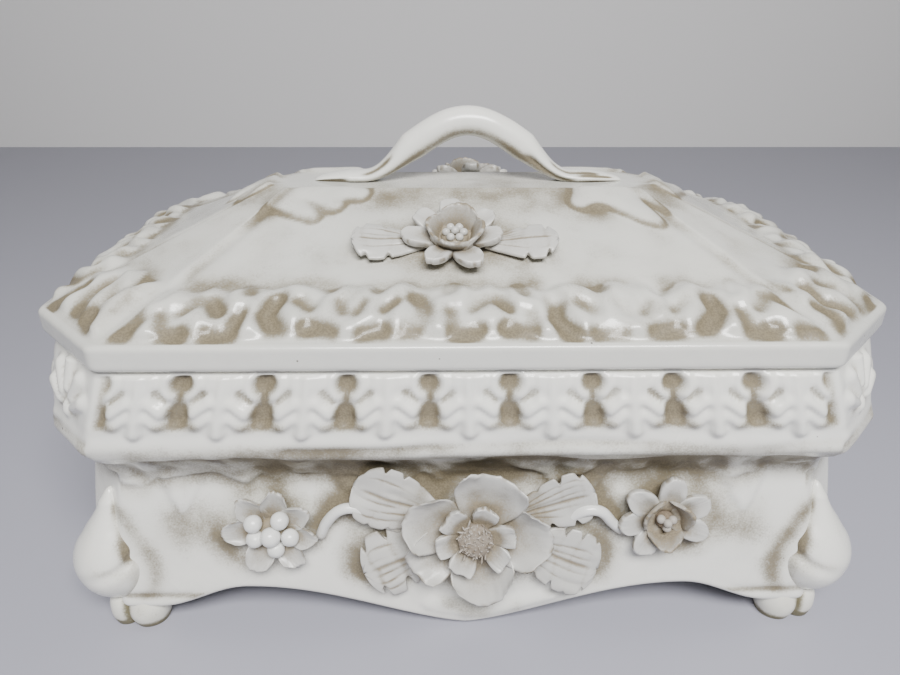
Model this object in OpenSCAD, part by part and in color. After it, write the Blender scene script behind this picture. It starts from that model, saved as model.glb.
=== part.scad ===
// A glazed ceramic trinket box: a footed casket with a bulging top band and a scalloped skirt,
// a lift-off hipped lid with a branch handle, and hand-built blossoms luted to walls and lid.
// Frame: X along the length, Y to the back, Z up. The origin is on the resting surface, at the
// middle of the plan. The back carries the same spray as the front, turned half a turn about Z.

/* [Overall] */
// Length of the lid, the longest side of the plan
lid_length = 300; // [250:1:360]
// Depth of the lid, front to back
lid_depth = 179; // [150:1:215]
// Height of the rim that the lid rests on
mouth_z = 113; // [95:1:136]

/* [Body] */
// How far the lid overhangs the mouth at each end
overhang_end = 5.5; // [4:0.1:8]
// How far the lid overhangs the mouth at the front and the back
overhang_front = 2.5; // [1.5:0.1:5]
// How far the widest line of the band swells beyond the mouth
band_swell = 3; // [1:0.1:5]
// How far the waist of the front and the back is drawn in from the widest line
waist_front = 13; // [8:0.5:18]
// How far the waist of each end is drawn in from the widest line
waist_end = 5; // [3:0.5:10]
// How far the skirt's lower edge stands inside the widest line
skirt_inset = 0.5; // [0:0.5:5]
// Height of the band from its widest line up to the mouth
band_h = 23; // [18:1:27]
// Distance from the waist up to the widest line of the band
shoulder_h = 26; // [20:1:30]
// Width of the body's cut corners at the mouth
mouth_cut = 26; // [18:1:30]
// Width of the body's cut corners at the waist and below it
waist_cut = 17; // [12:1:22]
// Thickness of the cast wall
wall = 6; // [4:0.5:7]
// Thickness of the floor
floor_t = 5; // [4:0.5:8]
// Height of the floor's underside above the resting surface
floor_under_z = 27; // [25:1:32]

/* [Skirt] */
// Height of the lobe's tip at the middle of the front and the back
front_lobe_z = 1; // [1:0.5:6]
// Height of the lobe's tip at the middle of each end
end_lobe_z = 9; // [4:0.5:14]
// Height of the arches between the lobes and the feet
arch_z = 18.5; // [14:0.5:22]
// Height of the skirt's edge at the corners, above the feet
corner_edge_z = 10; // [8:0.5:14]
// Share of the half side taken by the lobe and its arch
arch_share = 0.57; // [0.5:0.01:0.65]

/* [Corner scrolls] */
// Greatest radius of a scroll
scroll_r = 19; // [15:0.5:20]
// Radius of the rolled tip at the top of a scroll
scroll_tip_r = 4; // [3:0.5:6]
// Height of a scroll's lowest point
scroll_low_z = 9; // [8:0.5:12]
// Height of its widest level
scroll_belly_z = 27; // [24:0.5:32]
// Height of its tip
scroll_top_z = 57; // [50:1:64]
// How far a scroll's axis stands inside the body's widest end
scroll_inset_end = 15.5; // [13:0.5:18]
// How far a scroll's axis stands inside the body's widest front
scroll_inset_front = 16; // [14:0.5:19]

/* [Feet] */
// Radius of the large inner toe
big_toe_r = 9; // [7:0.5:11]
// Radius of the small outer toe
small_toe_r = 6; // [4:0.5:8]
// Height of a foot, into the corner above it
foot_h = 16; // [13:0.5:19]
// Distance between the middles of the two toes
toe_gap = 12; // [9:0.5:14]
// How far the middle of a foot stands inside the body's widest end
foot_inset_end = 19; // [17:0.5:24]
// How far the toes' middles stand inside the body's widest front
foot_inset_front = 8.5; // [8:0.5:13]
// Share of a toe's radius that stands flat on the resting surface
toe_flat = 0.72; // [0.5:0.01:0.9]

/* [Lid] */
// Height of the lid's straight edge
lid_rim_h = 9.5; // [7:0.5:13]
// Rise of the hipped roof from its edge to the flat top
roof_rise = 30.7; // [24:0.1:38]
// Length of the flat top
flat_length = 149.2; // [130:0.2:180]
// Depth of the flat top, front to back
flat_depth = 28.2; // [18:0.2:36]
// Width of the lid's cut corners at its edge
lid_cut = 31; // [24:1:38]
// Width of the narrow corner facets where they meet the flat top
top_cut = 6; // [4:0.5:10]
// Thickness of the lid
lid_t = 6; // [4:0.5:8]
// Depth of the flange that drops inside the mouth
flange_h = 6; // [4:0.5:12]
// Thickness of that flange
flange_t = 4.5; // [3:0.5:6]
// Clearance between the flange and the mouth, all round
lid_fit = 1.6; // [1:0.1:3]
// Rounding of the lid's edges
edge_r = 2; // [1:0.1:3]

/* [Handle] */
// Where the top of the arch stands along the length
handle_apex_x = 2; // [-10:1:10]
// Half the span of the arch, from its top to where it flattens out
handle_span = 42; // [34:1:50]
// Length of the flattened left end beyond the arch
handle_left = 20; // [12:1:24]
// Length of the flattened right end beyond the arch
handle_right = 21; // [12:1:24]
// Rise of the arch
handle_rise = 22; // [16:0.5:28]
// Thickness of the branch at the top of the arch
handle_d = 11.5; // [8:0.5:13]
// Thickness of the flattened ends
handle_end_t = 4.6; // [3.5:0.1:6]
// Length over which each flattened end narrows to its tip
handle_taper = 14; // [8:1:18]

/* [Blossoms] */
// How deep the luted pieces are set into the surface that carries them
lute = 1; // [0.5:0.1:1.5]
// Thickness of a large petal or leaf
petal_t = 2; // [1.6:0.1:2.6]
// Thickness of a small petal
small_petal_t = 1.7; // [1.4:0.1:2.2]
// Reach of the main blossom's outer petals from its middle
outer_petal_r = 26.5; // [22:0.5:30]
// Half the width of an outer petal
outer_petal_w = 9.2; // [7:0.1:9.4]
// Reach of the main blossom's inner petals
inner_petal_r = 14; // [11:0.5:16]
// Reach of the petals of the left blossom
left_petal_r = 17.5; // [14:0.5:20]
// Reach of the petals of the right blossom
right_petal_r = 17; // [14:0.5:20]
// Height of the wrapped bud of the right blossom
bud_h = 11; // [8:0.5:13]
// Reach of the petals of the blossoms on the lid
lid_petal_r = 18; // [14:0.5:21]
// Reach of the leaves of the blossoms on the lid
lid_leaf_r = 36; // [28:0.5:40]
// Radius of the stamen disc of the main blossom
stamen_r = 6.5; // [5:0.5:8]
// Height of the stamen disc above the wall
stamen_h = 13; // [10:0.5:16]
// Radius of a berry
berry_r = 3.1; // [2.6:0.1:3.4]
// Radius of a bead inside a bud
bead_r = 1.6; // [1.2:0.1:1.8]
// Thickness of a stem
stem_d = 4; // [3:0.1:5]
// Radius of the rolled bud on the lid
lid_bud_r = 8; // [6.5:0.5:9]
// Height of the rolled bud above the slope
lid_bud_h = 11; // [8:0.5:13]

/* [Hidden] */
WALL_PARTS = [
    "blossom_outer_petals", "blossom_inner_petals", "blossom_stamens",
    "leaf_upper_left", "leaf_upper_right", "leaf_lower_left", "leaf_lower_right",
    "stem_left", "stem_right", "left_blossom_petals", "left_blossom_berries",
    "right_blossom_petals", "right_bud_petals", "right_bud_beads"
];
LID_PARTS = ["blossom_petals", "bud", "bud_beads", "leaf_left", "leaf_right"];
SIDES = [["front", 0], ["back", 180]];
CORNERS = [
    ["front_left", [-1, -1]], ["front_right", [1, -1]],
    ["back_left", [-1, 1]], ["back_right", [1, 1]]
];

lid_half = [lid_length, lid_depth] / 2;
mouth_half = lid_half - [overhang_end, overhang_front];
ridge_half = mouth_half + [band_swell, band_swell];
waist_half = ridge_half - [waist_end, waist_front];
skirt_half = ridge_half - [skirt_inset, skirt_inset];
ridge_z = mouth_z - band_h;
waist_z = ridge_z - shoulder_h;
floor_z = floor_under_z + floor_t;
roof_edge_z = mouth_z + lid_rim_h;
roof_z = roof_edge_z + roof_rise;
flat_half = [flat_length, flat_depth] / 2;
roof_edge_half = lid_half - [edge_r, edge_r];
roof_angle = atan2(roof_rise, roof_edge_half[1] - flat_half[1]);
// Rounding of the mouth's outer edge, of the skirt's edge and of the floor's corner inside
rim_soft = 1.5;
skirt_round = 2;
floor_fillet = wall;
// How far the recess under the floor narrows towards its top
recess_draft = 2;
ivory = [0.93, 0.92, 0.87];
bisque = [0.84, 0.82, 0.77];
umber = [0.62, 0.57, 0.48];

// ---- Plan and profile of the casket ----

function mix(a, b, t) = a + (b - a) * t;
function ease(t) = (1 - cos(180 * max(0, min(1, t)))) / 2;

// Points along one side of a plan, without its last point
function side_points(a, b, steps) = [for (i = [0 : steps - 1]) mix(a, b, i / steps)];

// The plan: a rectangle of half sizes h with its corners cut, anticlockwise
function plan_corners(h, cut) =
    let (x = h[0], y = h[1])
    [
        [-x + cut, -y], [x - cut, -y], [x, -y + cut], [x, y - cut],
        [x - cut, y], [-x + cut, y], [-x, y - cut], [-x, -y + cut]
    ];
PLAN_STEPS = [24, 2, 10, 2, 24, 2, 10, 2];
function plan(h, cut) =
    let (c = plan_corners(h, cut))
    [for (i = [0 : 7]) each side_points(c[i], c[(i + 1) % 8], PLAN_STEPS[i])];

// A level ring of the plan, set in all round by inset
CUT_PER_INSET = 2 - sqrt(2);
function ring(h, cut, inset, z) = [
    for (p = plan(h - [inset, inset], cut - inset * CUT_PER_INSET)) [p[0], p[1], z]
];

// Half sizes of the wall's outer face at a height, and how wide its corners are cut
function wall_half(z) =
    z > ridge_z ? mix(ridge_half, mouth_half, pow((z - ridge_z) / band_h, 2))
    : z > waist_z ? mix(waist_half, ridge_half, ease((z - waist_z) / shoulder_h))
    : mix(skirt_half, waist_half, pow(z / waist_z, 1.5));
function wall_cut(z) = z > waist_z
    ? mix(waist_cut, mouth_cut, ease((z - waist_z) / (mouth_z - waist_z)))
    : waist_cut;

// Height of the skirt's scalloped edge: a lobe in the middle of a side, an arch on each hand
// of it, and a level run across the corner, from corner_share of the half side on
corner_share = 0.8;
lobe_curve = 1.4;
function side_edge(share, lobe_z) =
    share < arch_share
    ? mix(lobe_z, arch_z, pow(sin(90 * share / arch_share), lobe_curve))
    : mix(arch_z, corner_edge_z, ease((share - arch_share) / (corner_share - arch_share)));
function skirt_edge(p) =
    abs(p[1]) > skirt_half[1] - 0.01 ? side_edge(abs(p[0]) / skirt_half[0], front_lobe_z)
    : abs(p[0]) > skirt_half[0] - 0.01 ? side_edge(abs(p[1]) / skirt_half[1], end_lobe_z)
    : corner_edge_z;
EDGE = [for (p = plan(skirt_half, waist_cut)) skirt_edge(p)];

// A ring that follows the skirt's edge: at share 0 it lies lift above the edge, at 1 at top_z
function skirt_ring(inset, lift, share, top_z) = [
    for (i = [0 : len(EDGE) - 1])
        let (z = mix(EDGE[i] + lift, top_z, share))
        let (p = ring(wall_half(z), wall_cut(z), inset, z)[i])
        p
];
// A ring on the wall's outer face, or set in from it
function wall_ring(inset, z) = ring(wall_half(z), wall_cut(z), inset, z);

// A closed solid through a chain of rings, from a first middle point to a last one
module loft(first, rings, last) {
    n = len(rings[0]);
    count = len(rings);
    end = 1 + n * count;
    polyhedron(
        points = concat([first], [for (r = rings) each r], [last]),
        faces = concat(
            [for (j = [0 : n - 1]) [0, 1 + j, 1 + (j + 1) % n]],
            [for (i = [0 : count - 2]) for (j = [0 : n - 1])
                let (a = 1 + i * n + j, b = 1 + i * n + (j + 1) % n)
                each [[a, a + n, b + n], [a, b + n, b]]],
            [for (j = [0 : n - 1])
                [end - n + j, end, end - n + (j + 1) % n]]
        ),
        convexity = 6
    );
}

// A closed sheet between an upper and a lower grid of points, such as a petal
module sheet(upper, lower) {
    rows = len(upper) - 1;
    cols = len(upper[0]) - 1;
    m = (rows + 1) * (cols + 1);
    function at(i, j) = i * (cols + 1) + j;
    polyhedron(
        points = concat([for (r = upper) each r], [for (r = lower) each r]),
        faces = concat(
            [for (i = [0 : rows - 1]) for (j = [0 : cols - 1])
                let (a = at(i, j), b = at(i + 1, j), c = at(i + 1, j + 1), d = at(i, j + 1))
                each [[a, d, c], [a, c, b], [m + a, m + b, m + c], [m + a, m + c, m + d]]],
            [for (i = [0 : rows - 1])
                let (a = at(i, 0), b = at(i + 1, 0), c = at(i, cols), d = at(i + 1, cols))
                each [[a, b, m + b], [a, m + b, m + a], [c, m + c, m + d], [c, m + d, d]]],
            [for (j = [0 : cols - 1])
                let (a = at(0, j), b = at(0, j + 1), c = at(rows, j), d = at(rows, j + 1))
                each [[b, a, m + a], [b, m + a, m + b], [c, d, m + d], [c, m + d, m + c]]]
        ),
        convexity = 4
    );
}

// ---- Casket ----

module box_body() {
    color(ivory)
    loft(
        [0, 0, floor_under_z],
        concat(
            [wall_ring(wall + recess_draft, floor_under_z)],
            [skirt_ring(wall, skirt_round, 0, waist_z)],
            [skirt_ring(wall - skirt_round, 0, 0, waist_z)],
            [skirt_ring(skirt_round, 0, 0, waist_z)],
            [for (t = [0, 0.25, 0.5, 0.75]) skirt_ring(0, skirt_round, t, waist_z)],
            [for (t = [0 : 0.25 : 1]) wall_ring(0, mix(waist_z, ridge_z, t))],
            [wall_ring(0, mix(ridge_z, mouth_z, 0.5))],
            [wall_ring(0, mouth_z - rim_soft)],
            [wall_ring(rim_soft, mouth_z)],
            [wall_ring(wall, mouth_z)],
            [wall_ring(wall, ridge_z)],
            [wall_ring(wall, waist_z)],
            [wall_ring(wall, floor_z + floor_fillet)],
            [wall_ring(wall + floor_fillet, floor_z)]
        ),
        [0, 0, floor_z]
    );
}

// A teardrop scroll on the corner of the skirt, turned about its own upright axis and hollowed
// where it sits over the wall
function scroll_radius(z) =
    z < scroll_belly_z
    ? scroll_r * sqrt(max(0, 1 - pow((scroll_belly_z - z) / (scroll_belly_z - scroll_low_z), 2)))
    : mix(scroll_r, scroll_tip_r, ease((z - scroll_belly_z) / (scroll_top_z - scroll_belly_z)));

module corner_scroll(hand) {
    core_half = waist_half - [wall, wall] / 2;
    color(ivory)
    difference() {
        translate([
            hand[0] * (ridge_half[0] - scroll_inset_end),
            hand[1] * (ridge_half[1] - scroll_inset_front),
            0
        ])
        rotate_extrude($fn = 64)
        polygon(concat(
            [[0, scroll_low_z]],
            [for (t = [0.03, 0.12, 0.27, 0.45, 0.65, 0.85])
                let (z = mix(scroll_low_z, scroll_belly_z, t)) [scroll_radius(z), z]],
            [for (t = [0 : 0.125 : 1])
                let (z = mix(scroll_belly_z, scroll_top_z - scroll_tip_r, t)) [scroll_radius(z), z]],
            [[scroll_tip_r * 0.6, scroll_top_z], [0, scroll_top_z]]
        ));
        linear_extrude(scroll_top_z + wall)
        polygon(plan_corners(core_half, waist_cut - wall / 2 * CUT_PER_INSET));
    }
}

// One rounded toe, flat where it stands and widest a little below the middle of its height
toe_middle = 0.42;
module toe(r, h) {
    rotate_extrude($fn = 48)
    polygon(concat(
        [[0, 0], [r * toe_flat, 0]],
        [for (a = [-45 : 22.5 : 67.5]) [r * cos(a * 0.9), h * (toe_middle + 0.5 * sin(a))]],
        [[0, h]]
    ));
}

module foot(hand) {
    color(bisque)
    translate([
        hand[0] * (ridge_half[0] - foot_inset_end),
        hand[1] * (ridge_half[1] - foot_inset_front),
        0
    ])
    scale([hand[0], hand[1], 1])
    union() {
        translate([-toe_gap / 2, 0, 0])
        toe(big_toe_r, foot_h);
        translate([toe_gap / 2, 0, 0])
        toe(small_toe_r, foot_h);
        translate([-toe_gap / 6, -big_toe_r * 0.8, 0])
        toe(big_toe_r, foot_h);
    }
}

// ---- Lid ----

// A ring of the roof: share 0 at its edge, 1 at the flat top; depth is measured under the slope
function roof_ring(share, depth) =
    ring(
        mix(roof_edge_half, flat_half, share), mix(lid_cut, top_cut, share), 0,
        mix(roof_edge_z, roof_z, share) - depth
    );
// A ring at the lid's edge, set in all round without narrowing the cut corners
function rim_ring(inset, z) = ring(lid_half - [inset, inset], lid_cut, 0, z);
// A ring of the flange, in from the mouth's own size
function flange_ring(inset, z) = ring(mouth_half, mouth_cut, wall + lid_fit + inset, z);

module lid_shell() {
    under = lid_t / cos(roof_angle);
    color(ivory)
    loft(
        [0, 0, roof_z - under],
        [
            roof_ring(1, under),
            roof_ring(0.5, under),
            roof_ring(0.18, under),
            flange_ring(flange_t, mouth_z + 1),
            flange_ring(flange_t, mouth_z - flange_h),
            flange_ring(0, mouth_z - flange_h),
            flange_ring(0, mouth_z),
            rim_ring(edge_r, mouth_z),
            rim_ring(edge_r * 0.3, mouth_z + edge_r * 0.3),
            rim_ring(0, mouth_z + edge_r),
            rim_ring(0, roof_edge_z - edge_r),
            rim_ring(edge_r * 0.3, roof_edge_z - edge_r * 0.3),
            roof_ring(0, 0),
            roof_ring(0.5, 0),
            roof_ring(1, 0)
        ],
        [0, 0, roof_z]
    );
}

// The handle: a branch that lies along the flat top and arches up in the middle
HANDLE_SIDES = 14;
HANDLE_RINGS = 30;
handle_base_z = roof_z + handle_end_t / 2 - lute / 2;
function handle_arch(x) =
    let (s = min(1, abs(x - handle_apex_x) / handle_span)) pow(cos(90 * s), 2);
function handle_z(x) =
    handle_base_z + handle_rise * handle_arch(x)
    + (1 - handle_arch(x)) * 0.5 * (handle_thick(x) - handle_end_t);
// Thickness and width of the branch: full in the arch, flat and pointed at its ends
function handle_tip(x) =
    let (left = x - (handle_apex_x - handle_span - handle_left))
    let (right = handle_apex_x + handle_span + handle_right - x)
    sqrt(max(0.06, min(1, min(left, right) / handle_taper)));
function handle_thick(x) = mix(handle_end_t, handle_d, min(1, handle_arch(x) * 2.2)) * handle_tip(x);
function handle_wide(x) = mix(handle_d * 1.1, handle_d, min(1, handle_arch(x) * 2)) * handle_tip(x);
function handle_ring(x) =
    let (slope = atan2(handle_z(x + 0.5) - handle_z(x - 0.5), 1))
    [for (k = [0 : HANDLE_SIDES - 1])
        let (a = 360 * k / HANDLE_SIDES)
        let (up = handle_thick(x) / 2 * sin(a), out = handle_wide(x) / 2 * cos(a))
        [x - up * sin(slope), out, handle_z(x) + up * cos(slope)]];

module handle() {
    x0 = handle_apex_x - handle_span - handle_left;
    x1 = handle_apex_x + handle_span + handle_right;
    xs = [for (i = [0 : HANDLE_RINGS]) mix(x0, x1, ease(i / HANDLE_RINGS) * 0.25 + i / HANDLE_RINGS * 0.75)];
    color(ivory)
    loft(
        [x0 - 0.5, 0, handle_z(x0)],
        [for (x = xs) handle_ring(x)],
        [x1 + 0.5, 0, handle_z(x1)]
    );
}

// ---- Hand-built petals, leaves and stems ----

// A cupped petal that reaches from radius r0 to r1 along +X and climbs from h0 to h1
module petal(r0, r1, half_w, h0, h1, cup, t, rows = 4, cols = 4) {
    function spread(s) = 0.25 + 0.75 * sin(180 * pow(s, 1.2));
    function point(i, j, lift) =
        let (s = i / rows, v = 2 * j / cols - 1, w = half_w * spread(s))
        [mix(r0, r1, s - 0.06 * v * v * s), w * v, mix(h0, h1, s * s) + cup * v * v * spread(s) + lift];
    sheet(
        [for (i = [0 : rows]) [for (j = [0 : cols]) point(i, j, t / 2)]],
        [for (i = [0 : rows]) [for (j = [0 : cols]) point(i, j, -t / 2)]]
    );
}

// Petals set round a middle, one for each angle
module petals(angles, r0, r1, half_w, h0, h1, cup, t, rows = 4, cols = 4) {
    for (a = angles)
        rotate([0, 0, a])
        petal(r0, r1, half_w, h0, h1, cup, t, rows, cols);
}

// A leaf with a folded midrib and a notched edge, in the same frame as a petal
module leaf(r0, r1, half_w, h0, h1, fold, notch, t) {
    rows = 9;
    cols = 4;
    function spread(s) = 0.3 + 0.7 * sin(180 * pow(s, 0.75));
    function tooth(i) = i % 2 == 1 ? 1 : 1 - notch;
    function point(i, j, lift) =
        let (s = i / rows, v = 2 * j / cols - 1)
        [
            mix(r0, r1, s),
            half_w * spread(s) * v * (abs(v) == 1 ? tooth(i) : 1),
            mix(h0, h1, sin(90 * s)) + fold * abs(v) * spread(s) + lift
        ];
    sheet(
        [for (i = [0 : rows]) [for (j = [0 : cols]) point(i, j, t / 2)]],
        [for (i = [0 : rows]) [for (j = [0 : cols]) point(i, j, -t / 2)]]
    );
}

// A round stem through three points, bowed like a hoop
module stem(a, b, c, d) {
    steps = 9;
    facets = 8;
    // The curve's control point, so that it passes through b half way
    control = 2 * b - (a + c) / 2;
    function at(t) = (1 - t) * (1 - t) * a + 2 * t * (1 - t) * control + t * t * c;
    function unit(v) = v / norm(v);
    function hoop(t) =
        let (along = unit(at(t + 0.01) - at(t - 0.01)))
        let (side = unit(cross([0, 0, 1], along)))
        let (up = cross(along, side))
        [for (k = [0 : facets - 1])
            at(t) + d / 2 * (side * cos(360 * k / facets) + up * sin(360 * k / facets))];
    loft(at(0), [for (i = [0 : steps]) hoop(i / steps)], at(1));
}

// Balls round a middle one, all on one short boss
module cluster(r, ring_r, count, h, boss_r) {
    translate([0, 0, h + r * 0.7])
    sphere(r, $fn = 32);
    for (k = [0 : count - 1])
        rotate([0, 0, 360 * k / count + 90])
        translate([ring_r, 0, h])
        sphere(r, $fn = 32);
    translate([0, 0, -lute])
    cylinder(r = boss_r, h = h + lute, $fn = 40);
}

// ---- The spray on the wall ----

// Heights of the main blossom's middle and of the lowest leaves' tips, and the wall's mean slope
// from there up to the waist
spray_z = waist_z * 0.6875;
spray_low_z = waist_z * 0.1875;
spray_lean = atan2(wall_half(spray_low_z)[1] - waist_half[1], waist_z - spray_low_z);
// Where the parts of the spray stand, as [along, up] from the point under the main blossom
main_x = 2.8;
left_at = [-74, 0.5];
right_at = [69.5, 4];

// Brings a piece drawn flat, with +Z outwards, to the wall on one side of the box
module on_wall(turn, at) {
    rotate([0, 0, turn])
    translate([main_x, -wall_half(spray_z)[1], spray_z])
    rotate([90 - spray_lean, 0, 0])
    translate([at[0], at[1], 0])
    children();
}

// [angle, height of its base] of each outer petal of the main blossom; neighbours that stand
// close together are staggered in height
OUTER_PETALS = [[158, 5.6], [76, 3], [-4, 3], [-79, 3], [206, 2]];
INNER_PETALS = [137, 70, 8, -36, -118, 188];
LEFT_PETALS = [128, 80, 34, -8, -50, -117, 178];
RIGHT_PETALS = [80, 141, 184, -122, -24, 28];
LID_PETALS = [95, 143, 186, 240, -68, -6, 36];
// Half the widths of the small petals, and how far in from its middle a blossom's petals start
inner_petal_w = 3.4;
left_petal_w = 3.8;
right_petal_w = 3.9;
lid_petal_w = 4;
bud_petal_w = 5;
petal_root = 4;
// How far a petal's tip stands up from its root, and how deep the petal is cupped
outer_petal_lift = 7.5;
inner_petal_lift = 4;
small_petal_lift = 4.4;
outer_petal_cup = 3;
petal_cup = 1.5;
// Heights of the roots of the inner petals and of the small blossoms' petals
inner_petal_h = 8.5;
small_petal_h = 1.6;
// How steeply the wrapped bud's petals stand, and how far they stand from its axis
bud_tilt = 68;
bud_open = 3;

module blossom_outer_petals(turn) {
    color(bisque)
    on_wall(turn, [0, 0])
    for (p = OUTER_PETALS)
        rotate([0, 0, p[0]])
        petal(stamen_r - 1, outer_petal_r, outer_petal_w, p[1], p[1] + outer_petal_lift,
            outer_petal_cup, petal_t);
}
module blossom_inner_petals(turn) {
    color(bisque)
    on_wall(turn, [0, 0])
    petals(INNER_PETALS, stamen_r - 1, inner_petal_r, inner_petal_w,
        inner_petal_h, inner_petal_h + inner_petal_lift, petal_cup, small_petal_t, 3, 2);
}
module blossom_stamens(turn) {
    color(umber)
    on_wall(turn, [0, 0])
    translate([0, 0, -lute])
    cylinder(r = stamen_r, h = stamen_h + lute, $fn = 60);
}
// [name, angle, tip radius, half width, fold, notch] of each leaf of the spray
LEAVES = [
    ["leaf_upper_left", 157, 46, 12, 1.5, 0.06],
    ["leaf_upper_right", 20, 44, 11, 1.2, 0.14],
    ["leaf_lower_left", 199, 45, 11, -1, 0.26],
    ["leaf_lower_right", -17, 47, 12, 1, 0.16]
];
// Where the leaves start, outside the stamen disc, and the heights of their roots and tips
leaf_gap = 9;
leaf_root_h = -0.5;
leaf_tip_h = 3.5;
module wall_leaf(turn, row) {
    color(bisque)
    on_wall(turn, [0, 0])
    rotate([0, 0, row[1]])
    leaf(stamen_r + leaf_gap, row[2], row[3], leaf_root_h, leaf_tip_h, row[4], row[5], petal_t);
}
// The stems' roots, crowns and tips, as [along, up, out] from the blossom each belongs to
LEFT_STEM = [[18, -2, 0], [29, 10, 4.5], [46, 0, 1]];
RIGHT_STEM = [[-36, -4, 1], [-27.5, 5, 5.5], [-16, -5, 0]];
module stem_left(turn) {
    color(ivory)
    on_wall(turn, left_at)
    stem(LEFT_STEM[0], LEFT_STEM[1], LEFT_STEM[2], stem_d);
}
module stem_right(turn) {
    color(ivory)
    on_wall(turn, right_at)
    stem(RIGHT_STEM[0], RIGHT_STEM[1], RIGHT_STEM[2], stem_d);
}
module left_blossom_petals(turn) {
    color(bisque)
    on_wall(turn, left_at)
    petals(LEFT_PETALS, petal_root, left_petal_r, left_petal_w,
        small_petal_h, small_petal_h + small_petal_lift, 1.2, small_petal_t);
}
// Heights of the berries and of the bud's beads above the wall
berry_h = 5;
bead_h = 6;
module left_blossom_berries(turn) {
    color(ivory)
    on_wall(turn, left_at)
    cluster(berry_r, berry_r * 1.8, 5, berry_h, berry_r * 1.5);
}
module right_blossom_petals(turn) {
    color(bisque)
    on_wall(turn, right_at)
    petals(RIGHT_PETALS, petal_root, right_petal_r, right_petal_w,
        small_petal_h, small_petal_h + small_petal_lift, petal_cup, small_petal_t);
}
module right_bud_petals(turn) {
    color(bisque)
    on_wall(turn, right_at)
    for (a = [-90, 30, 150])
        rotate([0, 0, a])
        translate([bud_open, 0, -lute])
        rotate([0, -bud_tilt, 0])
        petal(0, bud_h, bud_petal_w, 0, -petal_cup, petal_cup, small_petal_t, 3, 2);
}
module right_bud_beads(turn) {
    color(umber)
    on_wall(turn, right_at)
    cluster(bead_r, bead_r * 1.5, 4, bead_h, bead_r * 1.4);
}

// ---- The spray on each slope of the lid ----

// Distance from the middle of the box to the blossom, and how far it stands to the left
lid_spray_y = 44.8;
lid_spray_x = -4.1;
// Heights of its petals' roots and tips above the slope, and of the bud's inner floor
lid_petal_h = 1.2;
lid_petal_tip_h = 7.5;
lid_bud_floor = lid_bud_h * 0.4;
module on_slope(turn) {
    drop = (lid_spray_y - flat_half[1]) * tan(roof_angle);
    rotate([0, 0, turn])
    translate([lid_spray_x, -lid_spray_y, roof_z - drop])
    rotate([roof_angle, 0, 0])
    children();
}
module lid_blossom_petals(turn) {
    color(bisque)
    on_slope(turn)
    petals(LID_PETALS, lid_bud_r * 0.52, lid_petal_r, lid_petal_w, lid_petal_h, lid_petal_tip_h,
        petal_cup, small_petal_t);
}
module lid_bud(turn) {
    color(bisque)
    on_slope(turn)
    rotate_extrude($fn = 60)
    polygon([
        [0, -lute], [lid_bud_r * 0.55, -lute], [lid_bud_r * 0.85, lid_bud_h * 0.35],
        [lid_bud_r, lid_bud_h], [lid_bud_r - small_petal_t, lid_bud_h],
        [lid_bud_r * 0.7 - 0.6, lid_bud_floor + 1.1], [0, lid_bud_floor]
    ]);
}
module lid_bud_beads(turn) {
    color(umber)
    on_slope(turn)
    translate([0, 0, lid_bud_floor])
    cluster(bead_r, bead_r * 1.7, 5, 1, bead_r);
}
module lid_leaf(turn, hand) {
    color(bisque)
    on_slope(turn)
    rotate([0, 0, hand < 0 ? 183 : -3])
    leaf(lid_bud_r + petal_root, lid_leaf_r, 8.5, 0, 3, -1.2, 0.14, petal_t);
}

// ---- Nodes ----

box_body();
lid_shell();
handle();
for (c = CORNERS) {
    foot(c[1]);
    corner_scroll(c[1]);
}
for (s = SIDES) {
    blossom_outer_petals(s[1]);
    blossom_inner_petals(s[1]);
    blossom_stamens(s[1]);
    for (row = LEAVES)
        wall_leaf(s[1], row);
    stem_left(s[1]);
    stem_right(s[1]);
    left_blossom_petals(s[1]);
    left_blossom_berries(s[1]);
    right_blossom_petals(s[1]);
    right_bud_petals(s[1]);
    right_bud_beads(s[1]);
    lid_blossom_petals(s[1]);
    lid_bud(s[1]);
    lid_bud_beads(s[1]);
    lid_leaf(s[1], -1);
    lid_leaf(s[1], 1);
}
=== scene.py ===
"""A glazed ceramic trinket box with a lift-off lid, a branch handle and hand-built blossoms.

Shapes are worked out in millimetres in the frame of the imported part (X along the length, Y to
the back, Z up) and turned into metres when a mesh is made. Each piece stands for one CAD node.
"""

from math import atan2, cos, degrees, hypot, pi, radians, sin, sqrt, tan

import bmesh
import bpy
import numpy as np
from mathutils import Matrix, Vector


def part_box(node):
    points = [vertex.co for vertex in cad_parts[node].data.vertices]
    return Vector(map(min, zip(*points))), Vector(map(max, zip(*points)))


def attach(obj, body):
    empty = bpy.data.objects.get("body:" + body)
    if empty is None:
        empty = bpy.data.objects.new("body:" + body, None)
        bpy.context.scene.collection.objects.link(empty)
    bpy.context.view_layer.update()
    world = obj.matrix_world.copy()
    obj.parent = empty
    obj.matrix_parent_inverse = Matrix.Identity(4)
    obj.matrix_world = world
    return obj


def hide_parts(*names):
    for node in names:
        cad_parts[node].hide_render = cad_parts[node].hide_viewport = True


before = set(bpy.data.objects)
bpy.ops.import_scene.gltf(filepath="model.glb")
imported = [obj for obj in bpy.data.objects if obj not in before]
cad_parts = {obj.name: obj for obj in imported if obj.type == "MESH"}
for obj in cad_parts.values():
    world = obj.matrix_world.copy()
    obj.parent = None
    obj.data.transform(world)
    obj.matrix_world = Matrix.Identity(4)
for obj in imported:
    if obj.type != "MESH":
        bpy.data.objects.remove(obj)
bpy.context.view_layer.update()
MM = 0.001


def box_mm(node):
    """Lowest and highest corner of a CAD node in millimetres."""
    low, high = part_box(node)
    return np.array(low) / MM, np.array(high) / MM


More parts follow.
